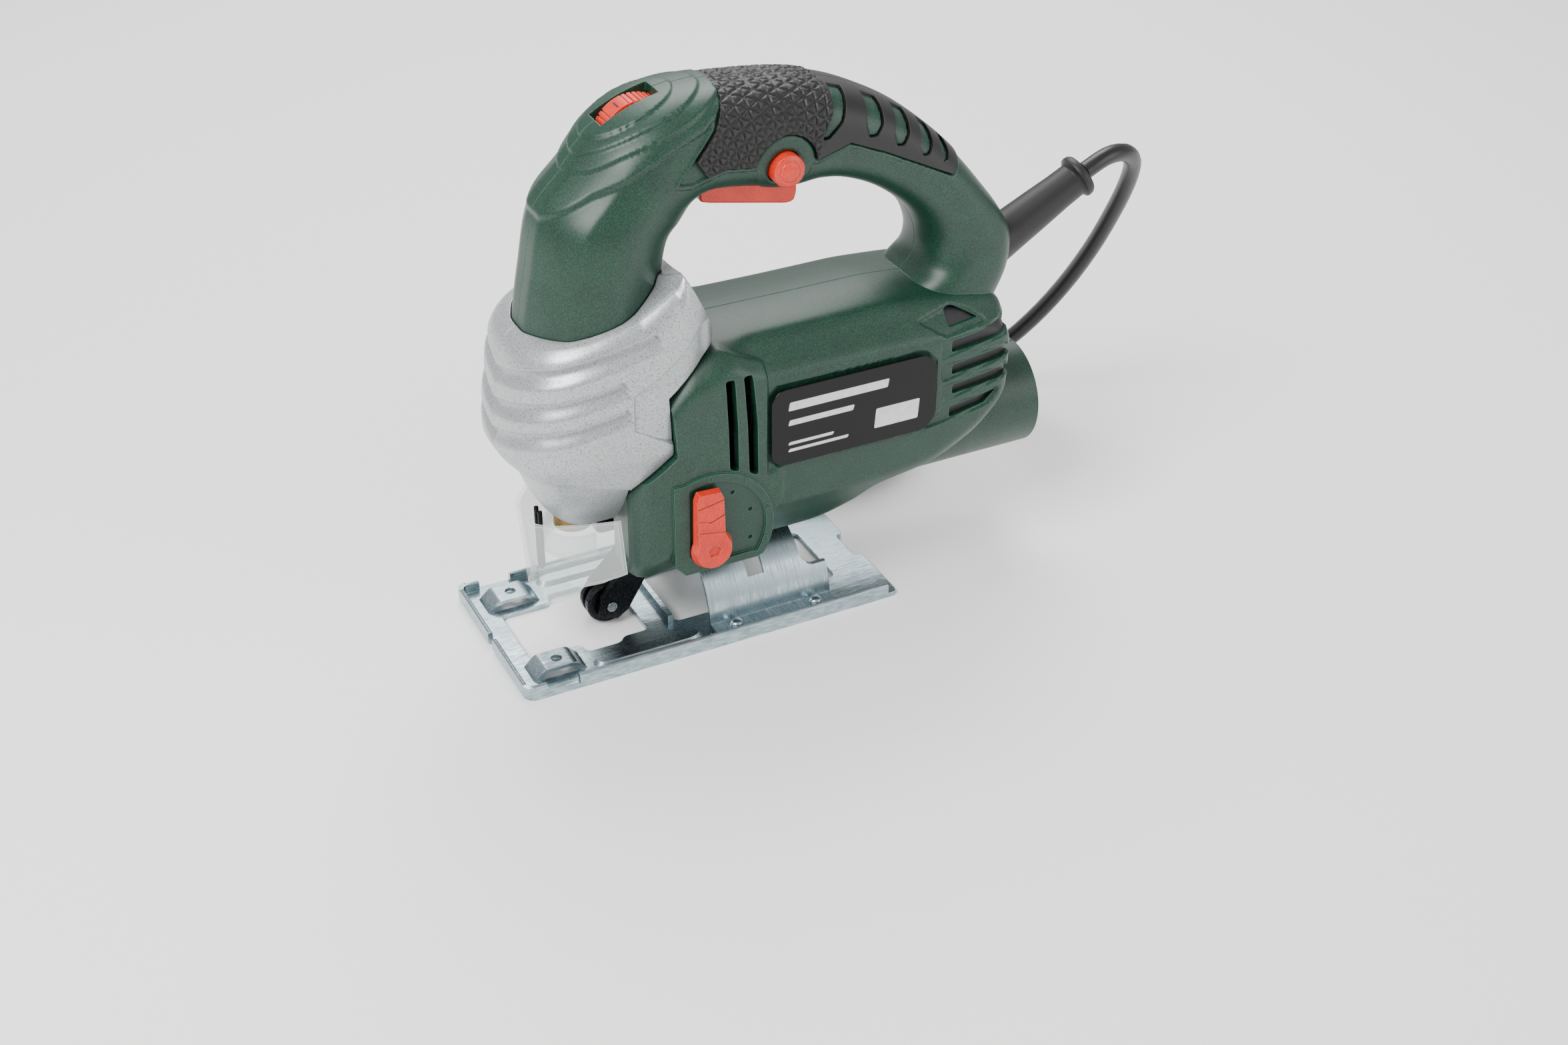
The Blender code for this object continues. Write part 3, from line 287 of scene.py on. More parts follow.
ZINC = plated_steel("bright_zinc_plate", "#87979f", "#a3b4ba", "#bccbd0", 0.25, (0.12, 1, 1), 5.0)
ZINC_ARCH = plated_steel("bright_zinc_rolled", "#93a4ab", "#a8b8be", "#bfced3", 0.26, (1, 0.06, 0.06), 5.0)
STEEL = plated_steel("ground_steel", "#7d8084", "#a0a4a8", "#c2c6ca", 0.24)
BLACK_STEEL = plated_steel("oil_blackened_steel", "#141516", "#222325", "#3a3b3e", 0.34)
BRASS = plated_steel("sintered_bronze", "#6d5634", "#93743f", "#b8965a", 0.34)
COPPER = plated_steel("enamelled_copper", "#7c4526", "#a8633a", "#c98354", 0.3)
print(len(bpy.data.materials), "finishes")

# %% [markdown]
# **Clear polycarbonate** is a see-through film that turns more solid at its edges, where a real sheet gathers
# light.  The label is gloss black film with near-white ink.  Each slot of the frame then has one finish, which
# its pieces wear unless they ask for another.


# %% Clear sheet, label, and the finish of each slot
def clear_sheet():
    """See-through film whose alpha rises from 0.26 on flat faces to 0.9 on edges."""
    made, shader, _ = new_finish("Clear polycarbonate", Base_Color=linear("#dfe6e4"), Roughness=0.08,
                                 IOR=1.58, Alpha=0.2)
    rim, _ = edge_light(made, 0.9, 2.2)
    solid = node(made, "ShaderNodeMapRange", Value=rim, To_Min=0.26, To_Max=0.9)
    link(made, solid.outputs[0], shader.inputs["Alpha"])
    return made


# The last colour of each is its painted edge highlight.
LABEL_GLOSS = grained_plastic("Gloss label film", "#020203", "#030304", "#060607", "#161618", 0.2, 0.05, 0.02,
                             0.2, IOR=1.34)
PRINT = grained_plastic("White label ink", "#c9cbcc", "#d4d6d6", "#dfe1e1", "#e6e8e8", 0.5, 0.2, 0.02, 0.2)
FINISHES = {"green_abs": GREEN_ABS, "silver_paint": SILVER, "black_rubber": RUBBER, "red_plastic": RED_ABS,
            "zinc_steel": ZINC, "ground_steel": STEEL, "blackened_steel": BLACK_STEEL, "copper": COPPER,
            "bronze": BRASS, "clear_guard": clear_sheet(), "black_nylon": BLACK_NYLON,
            "label_foil": LABEL_GLOSS}
print(len(FINISHES), "slots have a finish")

# %% [markdown]
# ## The mains lead
# A real lead of this class is 7 mm rubber-sheathed flex.  It leaves the strain relief behind the handle,
# falls to the bench behind the tool, and its two metres end in a tidy coil and a plug, hidden by the body.
# The route's points are the same ones that the frame's plain tube follows.

# %% Route of the lead
CORD_DIAMETER = 7.0
COIL_CENTRE = (175.0, 86.0)
OUTER, INNER = 42.2, 34.9            # radii of the two columns of turns
LAYERS = (3.85, 10.4, 16.95, 23.3)   # heights of the four layers
ROUTE = (
    (246.9, 0.0, 142.1), (257.0, 0.8, 145.9), (267.0, 3.4, 144.6), (275.6, 9.0, 137.2), (280.6, 17.5, 124.0),
    (282.6, 28.0, 106.0), (282.0, 39.5, 85.0), (278.4, 51.5, 63.5), (272.2, 63.5, 43.5), (264.5, 76.0, 26.0),
    (255.0, 89.0, 13.0), (243.5, 102.0, 6.3), (230.0, 113.5, 4.0), (215.5, 122.8, 3.8), (201.0, 127.8, 3.8),
)
TAIL = ((163.0, 128.2, 22.4), (152.0, 128.2, 18.8), (142.0, 128.2, 13.6), (135.0, 128.2, 10.3),
        (128.0, 128.2, 8.4), (120.5, 128.2, 7.8))
STEPS = 20                           # points to a turn


def coil_turns():
    """Turns about the coil's centre: the angle grows evenly from a quarter turn, and radius and height move
    to the next place over part of a turn.  Two turns to a layer, working up."""
    places = np.array([(OUTER, LAYERS[0]), (INNER, LAYERS[0]), (INNER, LAYERS[1]), (OUTER, LAYERS[1]),
                       (OUTER, LAYERS[2]), (INNER, LAYERS[2]), (INNER, LAYERS[3]), (OUTER, LAYERS[3])])
    turn = np.arange(STEPS * len(places) + 1) / STEPS
    at = np.minimum(turn.astype(int), len(places) - 1)
    mix = ramp(0, 0.45, turn - at)[:, None]
    radius, height = (places[np.maximum(at - 1, 0)] * (1 - mix) + places[at] * mix).T
    angle = math.pi / 2 + 2 * math.pi * turn
    x, y = COIL_CENTRE[0] + radius * np.cos(angle), COIL_CENTRE[1] + radius * np.sin(angle)
    return np.stack([x, y, height], 1)


lead_points = np.concatenate([np.array(ROUTE), coil_turns(), np.array(TAIL)])
print("lead has", len(lead_points), "points")

# %% [markdown]
# The lead is one open spline with a round bevel, so it keeps its true length and thickness.  The points are
# read from a Catmull-Rom curve through the route, so that no straight run or kink shows.


# %% Curve helpers
def catmull(route, share):
    """Catmull-Rom curve through a route, share points per span:
    0.5 (2b + (c - a) t + (2a - 5b + 4c - d) t^2 + (3b - a - 3c + d) t^3) for neighbours a, b, c, d."""
    route = np.asarray(route, float)
    route = np.concatenate([[2 * route[0] - route[1]], route, [2 * route[-1] - route[-2]]])
    a, b, c, d = (route[i:len(route) - 3 + i, None, :] for i in range(4))
    t = np.linspace(0, 1, share, endpoint=False)[None, :, None]
    bent = 0.5 * (2 * b + (c - a) * t + (2 * a - 5 * b + 4 * c - d) * t ** 2
                  + (3 * b - a - 3 * c + d) * t ** 3)
    return np.concatenate([bent.reshape(-1, route.shape[1]), route[-2:-1]])


def show(name, data):
    """Put data in the scene as an object at the origin."""
    made = bpy.data.objects.new(name, data)
    bpy.context.scene.collection.objects.link(made)
    return made


def path_curve(name, points, radius, finish, resolution=4):
    """Round bar as a poly spline through points, with its ends closed."""
    data = bpy.data.curves.new(name, "CURVE")
    data.dimensions = "3D"
    data.bevel_depth = radius * MM
    data.bevel_resolution = resolution
    data.use_fill_caps = True
    spline = data.splines.new("POLY")
    spline.points.add(len(points) - 1)
    spline.points.foreach_set("co", np.c_[world(points), np.ones(len(points))].ravel())
    spline.use_smooth = True
    data.materials.append(finish)
    return show(name, data)


lead_line = catmull(lead_points, 3)
lead = path_curve("mains_lead", lead_line, CORD_DIAMETER / 2, CORD_PVC)

# %% [markdown]
# ## Surfaces from grids
# A moulding is drawn as rings of points: one parameter runs along it and one runs round it.  Whole rings are
# worked out as arrays, moved along their own normals to press in every rib and recess, and closed into a
# solid.  Solids are then joined and cut with the manifold solver, which is quick on closed meshes.


# %% Grid helpers
def quads(rows, columns, wrap=True):
    """Corner numbers of the faces between neighbouring points; wrap joins the last column to the first."""
    i, j = np.meshgrid(np.arange(rows - 1), np.arange(columns if wrap else columns - 1), indexing="ij")
    a, b = i * columns + j, i * columns + (j + 1) % columns
    return np.stack([a, b, b + columns, a + columns], -1).reshape(-1, 4)


def mesh_from(name, points, faces):
    """Mesh in world metres with its faces turned outwards."""
    made = bpy.data.meshes.new(name)
    made.from_pydata(world(points), [], faces)
    work = bmesh.new()
    work.from_mesh(made)
    bmesh.ops.recalc_face_normals(work, faces=work.faces)
    work.to_mesh(made)
    work.free()
    return made


def closed(name, rings):
    """Solid through rings (rows, columns, 3): each end is closed by a fan to the mean of its ring."""
    rows, columns = rings.shape[:2]
    points = np.concatenate([rings.reshape(-1, 3), [rings[0].mean(0)], [rings[-1].mean(0)]])
    j, tip = np.arange(columns), rows * columns
    k, last = (j + 1) % columns, tip - columns
    fans = np.concatenate([np.stack([k, j, 0 * j + tip], 1),
                           np.stack([j + last, k + last, 0 * j + tip + 1], 1)])
    return mesh_from(name, points, quads(rows, columns).tolist() + fans.tolist())


def prism(outline, start, end, axis="y", tip=None):
    """Flat outline carried along an axis from start to end; tip gives the far end another outline."""
    flat = np.stack([np.asarray(outline, float), np.asarray(outline if tip is None else tip, float)])
    level = np.broadcast_to(np.array([start, end], float)[:, None], flat.shape[:2])
    u, v = flat[..., 0], flat[..., 1]
    points = np.stack({"x": (level, u, v), "y": (u, level, v), "z": (u, v, level)}[axis], -1).reshape(-1, 3)
    count = flat.shape[1]
    caps = [list(range(count))[::-1], list(range(count, 2 * count))]
    return mesh_from("prism", points, quads(2, count).tolist() + caps)


def rounded(outline, radius, share=6):
    """Outline with each corner turned into a quadratic curve that starts radius before it at most."""
    here = np.asarray(outline, float)
    before, after = np.roll(here, 1, 0) - here, np.roll(here, -1, 0) - here
    near, far = np.linalg.norm(before, axis=1)[:, None], np.linalg.norm(after, axis=1)[:, None]
    a = here + before / near * np.minimum(radius, near * 0.48)
    b = here + after / far * np.minimum(radius, far * 0.48)
    t = np.linspace(0, 1, share)[None, :, None]
    curve = (1 - t) ** 2 * a[:, None] + 2 * t * (1 - t) * here[:, None] + t ** 2 * b[:, None]
    return curve.reshape(-1, 2)


def arc(x, z, radius, angle):
    """Outline points at a radius from (x, z), one for each angle."""
    return np.stack([x + radius * np.cos(angle), z + radius * np.sin(angle)], 1)


def circle(x, z, radius, count=40):
    """Round outline."""
    return arc(x, z, radius, np.arange(count) * 2 * math.pi / count)


def rectangle(left, low, right, high):
    """Outline of an upright rectangle."""
    return [(left, low), (right, low), (right, high), (left, high)]


def combine(mesh, *steps):
    """Join, cut or keep in turn: steps are (operation, mesh), with the manifold solver."""
    work = [show("solid", mesh)]
    for operation, other in steps:
        work.append(show("tool", other))
        change = work[0].modifiers.new("step", "BOOLEAN")
        change.operation = {"+": "UNION", "-": "DIFFERENCE", "&": "INTERSECT"}[operation]
        change.solver = "MANIFOLD"
        change.object = work[-1]
    bpy.context.view_layer.update()
    made = bpy.data.meshes.new_from_object(work[0].evaluated_get(bpy.context.evaluated_depsgraph_get()))
    for thing in work:
        bpy.data.objects.remove(thing, do_unlink=True)
    return made


def finish_piece(name, mesh, slot, *nodes, body="housing", finish=None, angle=32):
    """Show a mesh as a piece: its finish (its slot's unless one is given), smooth and sharp edges, and its
    body; the nodes it stands for are hidden.
    """
    mesh.materials.clear()
    mesh.materials.append(finish or FINISHES[slot])
    mesh.polygons.foreach_set("material_index", np.zeros(len(mesh.polygons), int))
    mesh.shade_smooth()
    mesh.set_sharp_from_angle(angle=math.radians(angle))
    piece = show(name, mesh)
    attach(piece, body)
    if nodes:
        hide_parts(*nodes)
    print(f"{name}: {sum(len(f.vertices) - 2 for f in mesh.polygons)} triangles")
    return piece


def pushed(rings, relief):
    """Points moved along the surface's normal, the cross product of its two grid directions, by relief mm."""
    along = np.gradient(rings, axis=0)
    around = np.roll(rings, -1, 1) - np.roll(rings, 1, 1)
    normal = np.cross(around, along)
    normal /= np.linalg.norm(normal, axis=2, keepdims=True) + 1e-12
    centre = rings.mean(1, keepdims=True)
    outward = np.sign((normal * (rings - centre)).sum(2).mean())
    return rings + normal * outward * relief[..., None]


def flowing(knots, values, at):
    """Cubic curve through values that never overshoots: each slope is the harmonic mean of its two sides."""
    knots, values = np.asarray(knots, float), np.asarray(values, float)
    step = np.diff(knots)[:, None]
    rise = np.diff(values, axis=0) / step
    slope = np.zeros_like(values)
    both = rise[:-1] * rise[1:]
    slope[1:-1] = np.where(both > 0, 2 * both / (rise[:-1] + rise[1:] + 1e-12), 0)
    slope[0], slope[-1] = rise[0], rise[-1]
    i = np.clip(np.searchsorted(knots, at, "right") - 1, 0, len(knots) - 2)
    t = ((at - knots[i]) / step[i, 0])[:, None]
    return ((1 + 2 * t) * (1 - t) ** 2 * values[i] + t * (1 - t) ** 2 * step[i] * slope[i]
            + t * t * (3 - 2 * t) * values[i + 1] + t * t * (t - 1) * step[i] * slope[i + 1])


def inside(x, z, outline):
    """Signed distance in mm from points to a closed outline: positive inside it."""
    corners = np.asarray(outline, float)
    best, crossings = np.full(np.shape(x), 1e9), np.zeros(np.shape(x), int)
    for (ax, az), (bx, bz) in zip(corners, np.roll(corners, -1, 0)):
        dx, dz = bx - ax, bz - az
        t = np.clip(((x - ax) * dx + (z - az) * dz) / (dx * dx + dz * dz), 0, 1)
        best = np.minimum(best, np.hypot(x - ax - t * dx, z - az - t * dz))
        if az != bz:
            crossings += ((az > z) != (bz > z)) & (x < ax + (z - az) * dx / (bz - az))
    return np.where(crossings % 2 == 1, best, -best)


def superellipse(angle, a, b, power):
    """Radius at an angle on |y/a|^n + |z/b|^n = 1, which is (|cos/a|^n + |sin/b|^n)^(-1/n)."""
    return (np.abs(np.cos(angle) / a) ** power + np.abs(np.sin(angle) / b) ** power) ** (-1 / power)


def even_angles(width, height, power, count):
    """Polar angles that space points evenly round a superellipse."""
    dense = np.linspace(0, 2 * math.pi, 2881)
    radius = superellipse(dense, width, height, power)
    line = np.stack([radius * np.cos(dense), radius * np.sin(dense)], 1)
    length = np.r_[0, np.cumsum(np.linalg.norm(np.diff(line, axis=0), axis=1))]
    return np.interp((np.arange(count) + 0.5) / count * length[-1], length, dense)


print("grid helpers ready")

# %% [markdown]
# ## The motor body
# Seen from the end the body is a soft-cornered polygon: flat sides, a roof that falls gently from the seam,
# shoulders at 42 degrees and a tucked-in belly.  A power mean of the sides' distances rounds its corners.
# The front band stands 1.1 mm proud, and the label sits in a shallow recess.

# %% Outlines on the body's side
BAND = ((40, 119), (80, 119), (97, 111), (97, 66.5), (103, 70), (104, 60), (100.5, 48), (97, 25), (40, 25))
LABEL = ((102, 70), (161, 70), (165.5, 74.5), (165.5, 96.5), (161, 101), (102, 101), (98.5, 97.5),
         (98.5, 73.5))
REAR_VENTS = (                   # each is a sunken tray and the slot inside it
    (((161, 111.6), (175, 114.2), (181, 112), (188, 107), (170.5, 105.2)),
     ((172.5, 113), (176, 113.4), (186, 107.6), (172.5, 107))),
    (((168.5, 103.5), (197, 105.5), (197.5, 100), (168.5, 96.8)),
     ((173, 102.6), (204, 105.2), (204, 100.6), (173, 97.7))),
    (((168.7, 93.2), (197.5, 96.2), (197.5, 90.5), (169, 87.2)),
     ((173.5, 92.5), (204, 95.8), (204, 91.2), (173.5, 88.4))),
    (((169, 84.6), (197.5, 87.8), (197, 82), (169.5, 79)),
     ((174, 84), (204, 87.4), (204, 82.8), (174, 80.2))),
    (((161, 68.8), (170.5, 75.6), (195, 78.6), (189.5, 72.3)),
     ((173.2, 74.8), (193.5, 77.6), (188.5, 72.9), (173.2, 70.6))),
)
FRONT_VENTS = (((81, 109.5), (84.6, 109.5), (85.7, 90), (86, 72), (82.4, 73.5), (82, 90)),
               ((88, 109.5), (91.6, 109.5), (93.3, 90), (93.6, 68.5), (90, 70.5), (89.4, 90)))


# %% Motor form
def soft_polygon(angle, sides, power):
    """Radius of a soft-cornered polygon: (sum of (cos(angle - a) / d)^n)^(-1/n) over sides facing a at d."""
    reach = np.maximum(np.cos(angle[..., None] - sides[..., 0]) / sides[..., 1], 0)
    return (reach ** power).sum(-1) ** (-1 / power)


def motor_rings(inset=0.0, rows=230, columns=300):
    """Rings along X from a table of (x, bottom, top, half width, shoulder height, belly crease height)."""
    table = np.array([
        (47.6, 32.4, 71, 25, 66, 38), (50, 31.6, 76, 29.5, 70, 40), (54, 31.6, 92, 32.2, 86, 42),
        (60, 31.6, 105, 33, 98, 44), (72, 31.6, 116.5, 33, 108, 46), (84, 31.6, 120.6, 33, 111, 50),
        (97, 31.6, 120.6, 33, 106.5, 53), (121, 31.6, 120.5, 33, 106, 53), (137, 38, 120.5, 33, 106, 53),
        (147, 46, 120.5, 33, 106, 53.5), (166, 50, 119.2, 33, 105.5, 56), (184, 58, 117, 32.8, 104, 64),
        (194, 64, 114.5, 32.2, 101, 72), (198, 68.5, 112, 30.8, 99, 76), (200, 71, 109.5, 28.6, 97, 79)], float)
    x = np.linspace(47.6, 200, rows)
    bottom, top, half, shoulder, belly = flowing(table[:, 0], table[:, 1:], x).T
    bottom, top, half = bottom + inset, top - inset, half - inset
    middle = (bottom + top) / 2
    phi = even_angles(33, 45, 6, columns)
    turn = np.radians([0, 180, 90, 270, 81, 99, 42, 138, -34, -146])
    c, s = np.cos(turn), np.sin(turn)
    ridge = 0 * x + 8
    corner_y = np.stack([half, half, 0 * x, 0 * x, ridge, ridge, half, half, half, half], 1)
    corner_z = np.stack([middle, middle, top, bottom, top, top, shoulder, shoulder, belly, belly], 1)
    reach = corner_y * np.abs(c) + (corner_z - middle[:, None]) * s - inset * 0.2
    sides = np.stack([np.broadcast_to(turn, reach.shape), np.maximum(reach, 2)], -1)[:, None]
    radius = soft_polygon(np.broadcast_to(phi, (rows, columns)), sides, 48)
    around = np.stack([np.cos(phi) * radius, np.sin(phi) * radius + middle[:, None]], -1)
    return np.concatenate([np.broadcast_to(x[:, None, None], (rows, columns, 1)), around], -1)


def motor_relief(rings):
    """Proud front band, label recess and vent trays on the body's flanks, in mm."""
    x, y, z = np.moveaxis(rings, 2, 0)
    flank = ramp(20, 27, np.abs(y))
    lift = 1.1 * ramp(-1.2, 0.2, inside(x, z, BAND)) - 0.45
    lift -= 0.75 * ramp(-1.1, -0.5, inside(x, z, LABEL))
    for tray, _ in REAR_VENTS:
        lift -= 1.1 * ramp(-0.5, 0.3, inside(x, z, tray))
    return lift * flank


motor = motor_rings()
motor = pushed(motor, motor_relief(motor))
print("motor body grid", motor.shape[:2])

# %% [markdown]
# ## The front column, head and handle
# One loft makes the D: each station is a superellipse between a point on the outer outline and a point on the
# inner one.  The head carries a raised cap whose edge sweeps back to the grip, and three low terraces step up
# around the speed dial.

# %% Handle stations and the grip's outline
LOOP = np.array([
    (17, 112, 66, 112, 26.5), (18, 128.5, 67, 130, 27), (21.5, 148, 68, 146, 27),
    (26.6, 170, 70.5, 156.5, 26.5), (38, 183, 75, 161.5, 25), (49, 194, 80, 167, 24),
    (64, 201.5, 86, 169.5, 22.5), (82, 205, 94, 168.5, 21), (102, 204.7, 104, 166.5, 19.8),
    (122, 202.5, 117, 163.8, 19),
    (137, 198.3, 128, 164.5, 18.6), (150, 192.5, 138, 163, 18.5), (163, 185, 150, 158, 18.5),
    (176, 174.5, 161, 150.5, 18.5), (187, 163.5, 168.5, 143, 18.5), (197, 151.5, 172, 136, 18.6),
    (205, 141, 173, 129.5, 19), (210, 131, 171, 123, 20), (209, 119, 165, 117, 22),
    (203, 107, 160, 107, 23)], float)
LOCK = (111.0, 177.0)            # axis of the lock-on button
DIAL = (65, 189)                 # axle of the speed dial
GRIP = np.concatenate([
    [(70.5, 180.2), (75, 179.2), (88, 182), (98.6, 180)],
    arc(*LOCK, 12.2, np.radians(np.linspace(166, 6, 16))),
    [(123.4, 177.6), (136, 181.5), (150, 175.5), (178, 161.5), (184, 167.5), (198, 158), (204, 172), (170, 200),
     (130, 222), (92, 222), (90.5, 205), (84.5, 195)]])
WINDOWS = [((124.5, 184.6), (127.8, 184.2), (133.5, 189), (138.6, 200.2), (132.5, 201.8), (129.3, 193)),
           ((143.2, 181.8), (146.8, 181.6), (149.8, 185), (151.6, 194.4), (145.4, 196.6), (142.2, 186.5)),
           ((154.4, 176.6), (157.6, 176.2), (160.4, 179.5), (162.2, 187), (156.8, 189.6), (153.4, 180.5)),
           ((165, 171), (167.8, 170.4), (170.4, 173.4), (171.6, 179.4), (167.2, 182.2), (164, 174.5)),
           ((174.2, 166.6), (176, 166), (177.8, 168.4), (178.4, 172), (175.6, 174.4), (173.4, 169.6))]


# %% Handle form
FACET = 0.55                     # how flat the column's planes are, against a plain superellipse


def loop_rings(first, last, rows, columns, inset=0.0):
    """Superellipse stations (power 2.7) between first and last in the table, outer side at angle 0."""
    stations = catmull(LOOP, 40)
    place = np.linspace(first, last, rows) * 40
    at = np.stack([np.interp(place, np.arange(len(stations)), column) for column in stations.T], 1)
    outer, inner, half = at[:, :2], at[:, 2:4], at[:, 4:] - inset
    span = np.linalg.norm(outer - inner, axis=1, keepdims=True)
    ahead = (outer - inner) / span
    reach = span / 2 - inset
    phi = even_angles(20, 20, 2.7, columns)
    radius = superellipse(phi, reach, half, 2.7)
    slope = np.radians([0, 32, 70, 90, 122, 180, 238, 270, 290, 328])
    trim = [1, 0.94, 0.97, 1, 0.95, 1, 0.95, 1, 0.97, 0.94]
    width = np.sqrt((reach * np.cos(slope)) ** 2 + (half * np.sin(slope)) ** 2) * trim
    planes = soft_polygon(phi, np.stack([np.broadcast_to(slope, width.shape), width], -1)[:, None], 80)
    radius += (planes - radius) * FACET * (1 - ramp(4.2, 6.2, place / 40))[:, None]
    u, v = radius * np.cos(phi), radius * np.sin(phi)
    middle = (outer + inner) / 2
    return np.stack([middle[:, :1] + ahead[:, :1] * u, v, middle[:, 1:] + ahead[:, 1:] * u], -1)


def loop_relief(rings):
    """Head cap, dial terraces, the bed and lip of the grip, its window pads, and the ring round the lock."""
    x, y, z = np.moveaxis(rings, 2, 0)
    cap_x = np.array([20, 26.6, 29.6, 42, 65.3, 81.2, 91.3, 95, 110])
    cap_z = np.array([167, 170, 172, 179.5, 190.5, 195.8, 203.3, 207, 220])
    lift = 1.3 * ramp(-0.5, 1.0, z - np.interp(x, cap_x, cap_z)) - 0.8
    top = ramp(178, 186, z)
    for middle, long, wide in ((66, 28, 19.5), (64.5, 22, 16), (62, 15.5, 12)):
        ring = np.hypot((x - middle) / long, y / wide)
        lift += 0.8 * (1 - ramp(1 - 0.3 / wide, 1 + 0.3 / wide, ring)) * top
    bed = inside(x, z, GRIP)
    lift -= 0.9 * ramp(-0.35, 0.15, bed) * (x > 60)
    lift += 0.45 * ramp(-2.0, -1.5, bed) * (1 - ramp(-0.9, -0.4, bed)) * (z < 200)
    for window in WINDOWS:
        lift += 0.9 * ramp(0.1, 0.7, inside(x, z, window))
    ring = np.hypot(x - LOCK[0], z - LOCK[1])
    lift += 0.5 * ramp(6.6, 7.2, ring) * (1 - ramp(10.2, 11.0, ring)) * (y < 0)
    return lift


handle = loop_rings(0, 19, 580, 216)
handle = pushed(handle, loop_relief(handle))
print("handle grid", handle.shape[:2])

# %% [markdown]
# ## The green clamshell
# Both halves come from one outer form less one inner form, as a real moulding has an even wall.  The seam is
# a fine open line along the middle.  The left half carries the D-shaped rim that the orbital lever swings in.

# %% Green halves
COVER = ((-10, 170), (66, 170), (69, 150), (83, 122.5), (60.5, 107), (62, 84), (47, 72.5), (47, 40),
         (-10, 40))
COVER_CUT = ((-10, 120), (18, 122), (35, 126), (52, 130), (62, 137), (67.5, 147), (69.5, 150.4), (83.5, 122.4),
             (61, 106.7), (62.5, 83.7), (47.5, 72.1), (47.5, 20), (-10, 20))
MOUTH = ((40, 20), (71, 20), (71, 36.2), (51.3, 36.2), (51.3, 63), (40, 63))
LEVER = (74.2, 48.0)             # pivot of the orbital lever
PORT, PORT_RADIUS = 55.5, 21     # height and outer radius of the dust outlet


def half(side):
    """Everything on one side of the seam."""
    return prism(rectangle(-40, -30, 320, 260), *((-70, -SEAM) if side < 0 else (SEAM, 70)))


def lever_rim(radius, front, foot, low, high):
    """D ring: an arc about the pivot closed by a straight front and a chamfered foot."""
    t = np.radians(np.linspace(112 if front < 62 else 110, -33, 40))
    curve = arc(LEVER[0], LEVER[1] + 1, radius, t)
    foot_line = [(LEVER[0] + radius * 0.75, foot), (front + 4, foot), (front, foot + 4.5)]
    return prism(np.concatenate([curve, foot_line, [(front, curve[0, 1])]]), low, high)


def cut(mesh, *tools):
    """Cut tools out of a mesh in turn."""
    return combine(mesh, *[("-", tool) for tool in tools])


core = combine(closed("core", motor_rings(2.7, 60, 90)),
               ("+", closed("hollow", loop_rings(0.6, 18.4, 120, 60, 2.8))))
body = combine(closed("motor", motor), ("+", closed("handle", handle)),
               ("+", prism(circle(0, PORT, PORT_RADIUS, 72), 150, 220.5, "x")), ("-", core),
               ("-", prism(circle(0, PORT, PORT_RADIUS - 2.5, 72), 140, 230, "x")),
               ("-", prism(COVER_CUT, -70, 70)))
for slot in [slot for _, slot in REAR_VENTS] + list(FRONT_VENTS):
    for side, _ in SIDES:
        body = cut(body, prism(rounded(slot, 1.2), side * 22, side * 50))
trigger_gap = prism(rectangle(84.4, 148, 122.6, 174), -7.2, 7.2)
rooms = [prism(circle(*DIAL, 15.45, 72), -5.3, 5.3)]
for node_name in ("drive_gear", "crank_disc"):
    low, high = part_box(node_name)
    centre, reach = (low.z + high.z) / 2 / MM, (high.z - low.z) / 2 / MM + 1
    start, end = (low.x - FRONT) / MM - 0.6, (high.x - FRONT) / MM + 0.6
    rooms.append(prism(circle(0, centre, reach, 72), start, end, "x"))
body = cut(body, prism(MOUTH, -8.7, 8.7), prism(circle(98, 0, 3.2), 20, 40, "z"), *rooms, trigger_gap,
           prism(rectangle(50.4, 186, 71, 215), -5.3, 5.3))
left = combine(body, ("&", half(-1)), ("+", lever_rim(25, 60.2, 34.5, -34.6, -28.5)))
dots = [prism(circle(x, z, 0.9, 20), -40, -32.6) for x, z in ((83.3, 64.1), (90.3, 55.1), (90.3, 43.1))]
left = cut(left, *dots, lever_rim(22, 66, 37.5, -40, -33.5), prism(circle(*LEVER, 4.4), -40, -24),
           prism(circle(*LOCK, 6.35, 48), -40, -10))
finish_piece("clamshell_left", left, "green_abs", "housing_left")
finish_piece("clamshell_right", combine(body, ("&", half(1))), "green_abs", "housing_right")

# %% [markdown]
# ## The silver gear cover
# A painted shell wraps the front of the gear case.  Three undercut ledges run round it like gills, each ending
# in a slanted face, and the top edge rolls in where it meets the green column.


# %% Silver halves
def tower_rings(inset=0.0, rows=330, columns=420):
    """Plan superellipses (power 2.8) up Z; the rings tilt so that their rear climbs with height."""
    table = np.array([           # height, front, rear and half width
        (50, 27, 62, 13), (56, 22, 68, 18), (63, 18, 74, 23), (70, 15.5, 78, 27), (76, 13.4, 80, 29.6),
        (81, 9.8, 82, 31), (87, 7, 84, 32.6), (97, 7.6, 86, 33.4), (108, 9.4, 86, 33.6), (117, 10.6, 86, 33.5),
        (122, 11.8, 86, 32.9), (126, 13.4, 85.5, 31.6), (129, 16.2, 85, 29), (130, 18.4, 84, 26.8)], float)
    z = np.linspace(50, 130, rows)
    front, rear, wide = flowing(table[:, 0], table[:, 1:], z).T
    phi = even_angles(38, 33, 2.8, columns)
    a, b = (rear - front)[:, None] / 2 - inset, wide[:, None] - inset
    radius = superellipse(phi, a, b, 2.8)
    x, y = (front + rear)[:, None] / 2 + radius * np.cos(phi), radius * np.sin(phi)
    tilt = np.interp(x, [0, 18, 35, 52, 66, 69, 90], [0, 0, 3.5, 8, 15.5, 20, 20])
    height = z[:, None] + inset * np.where(z > 120, -1, 0)[:, None] + tilt * ramp(87, 130, z)[:, None]
    return np.stack([x, y, height], -1)


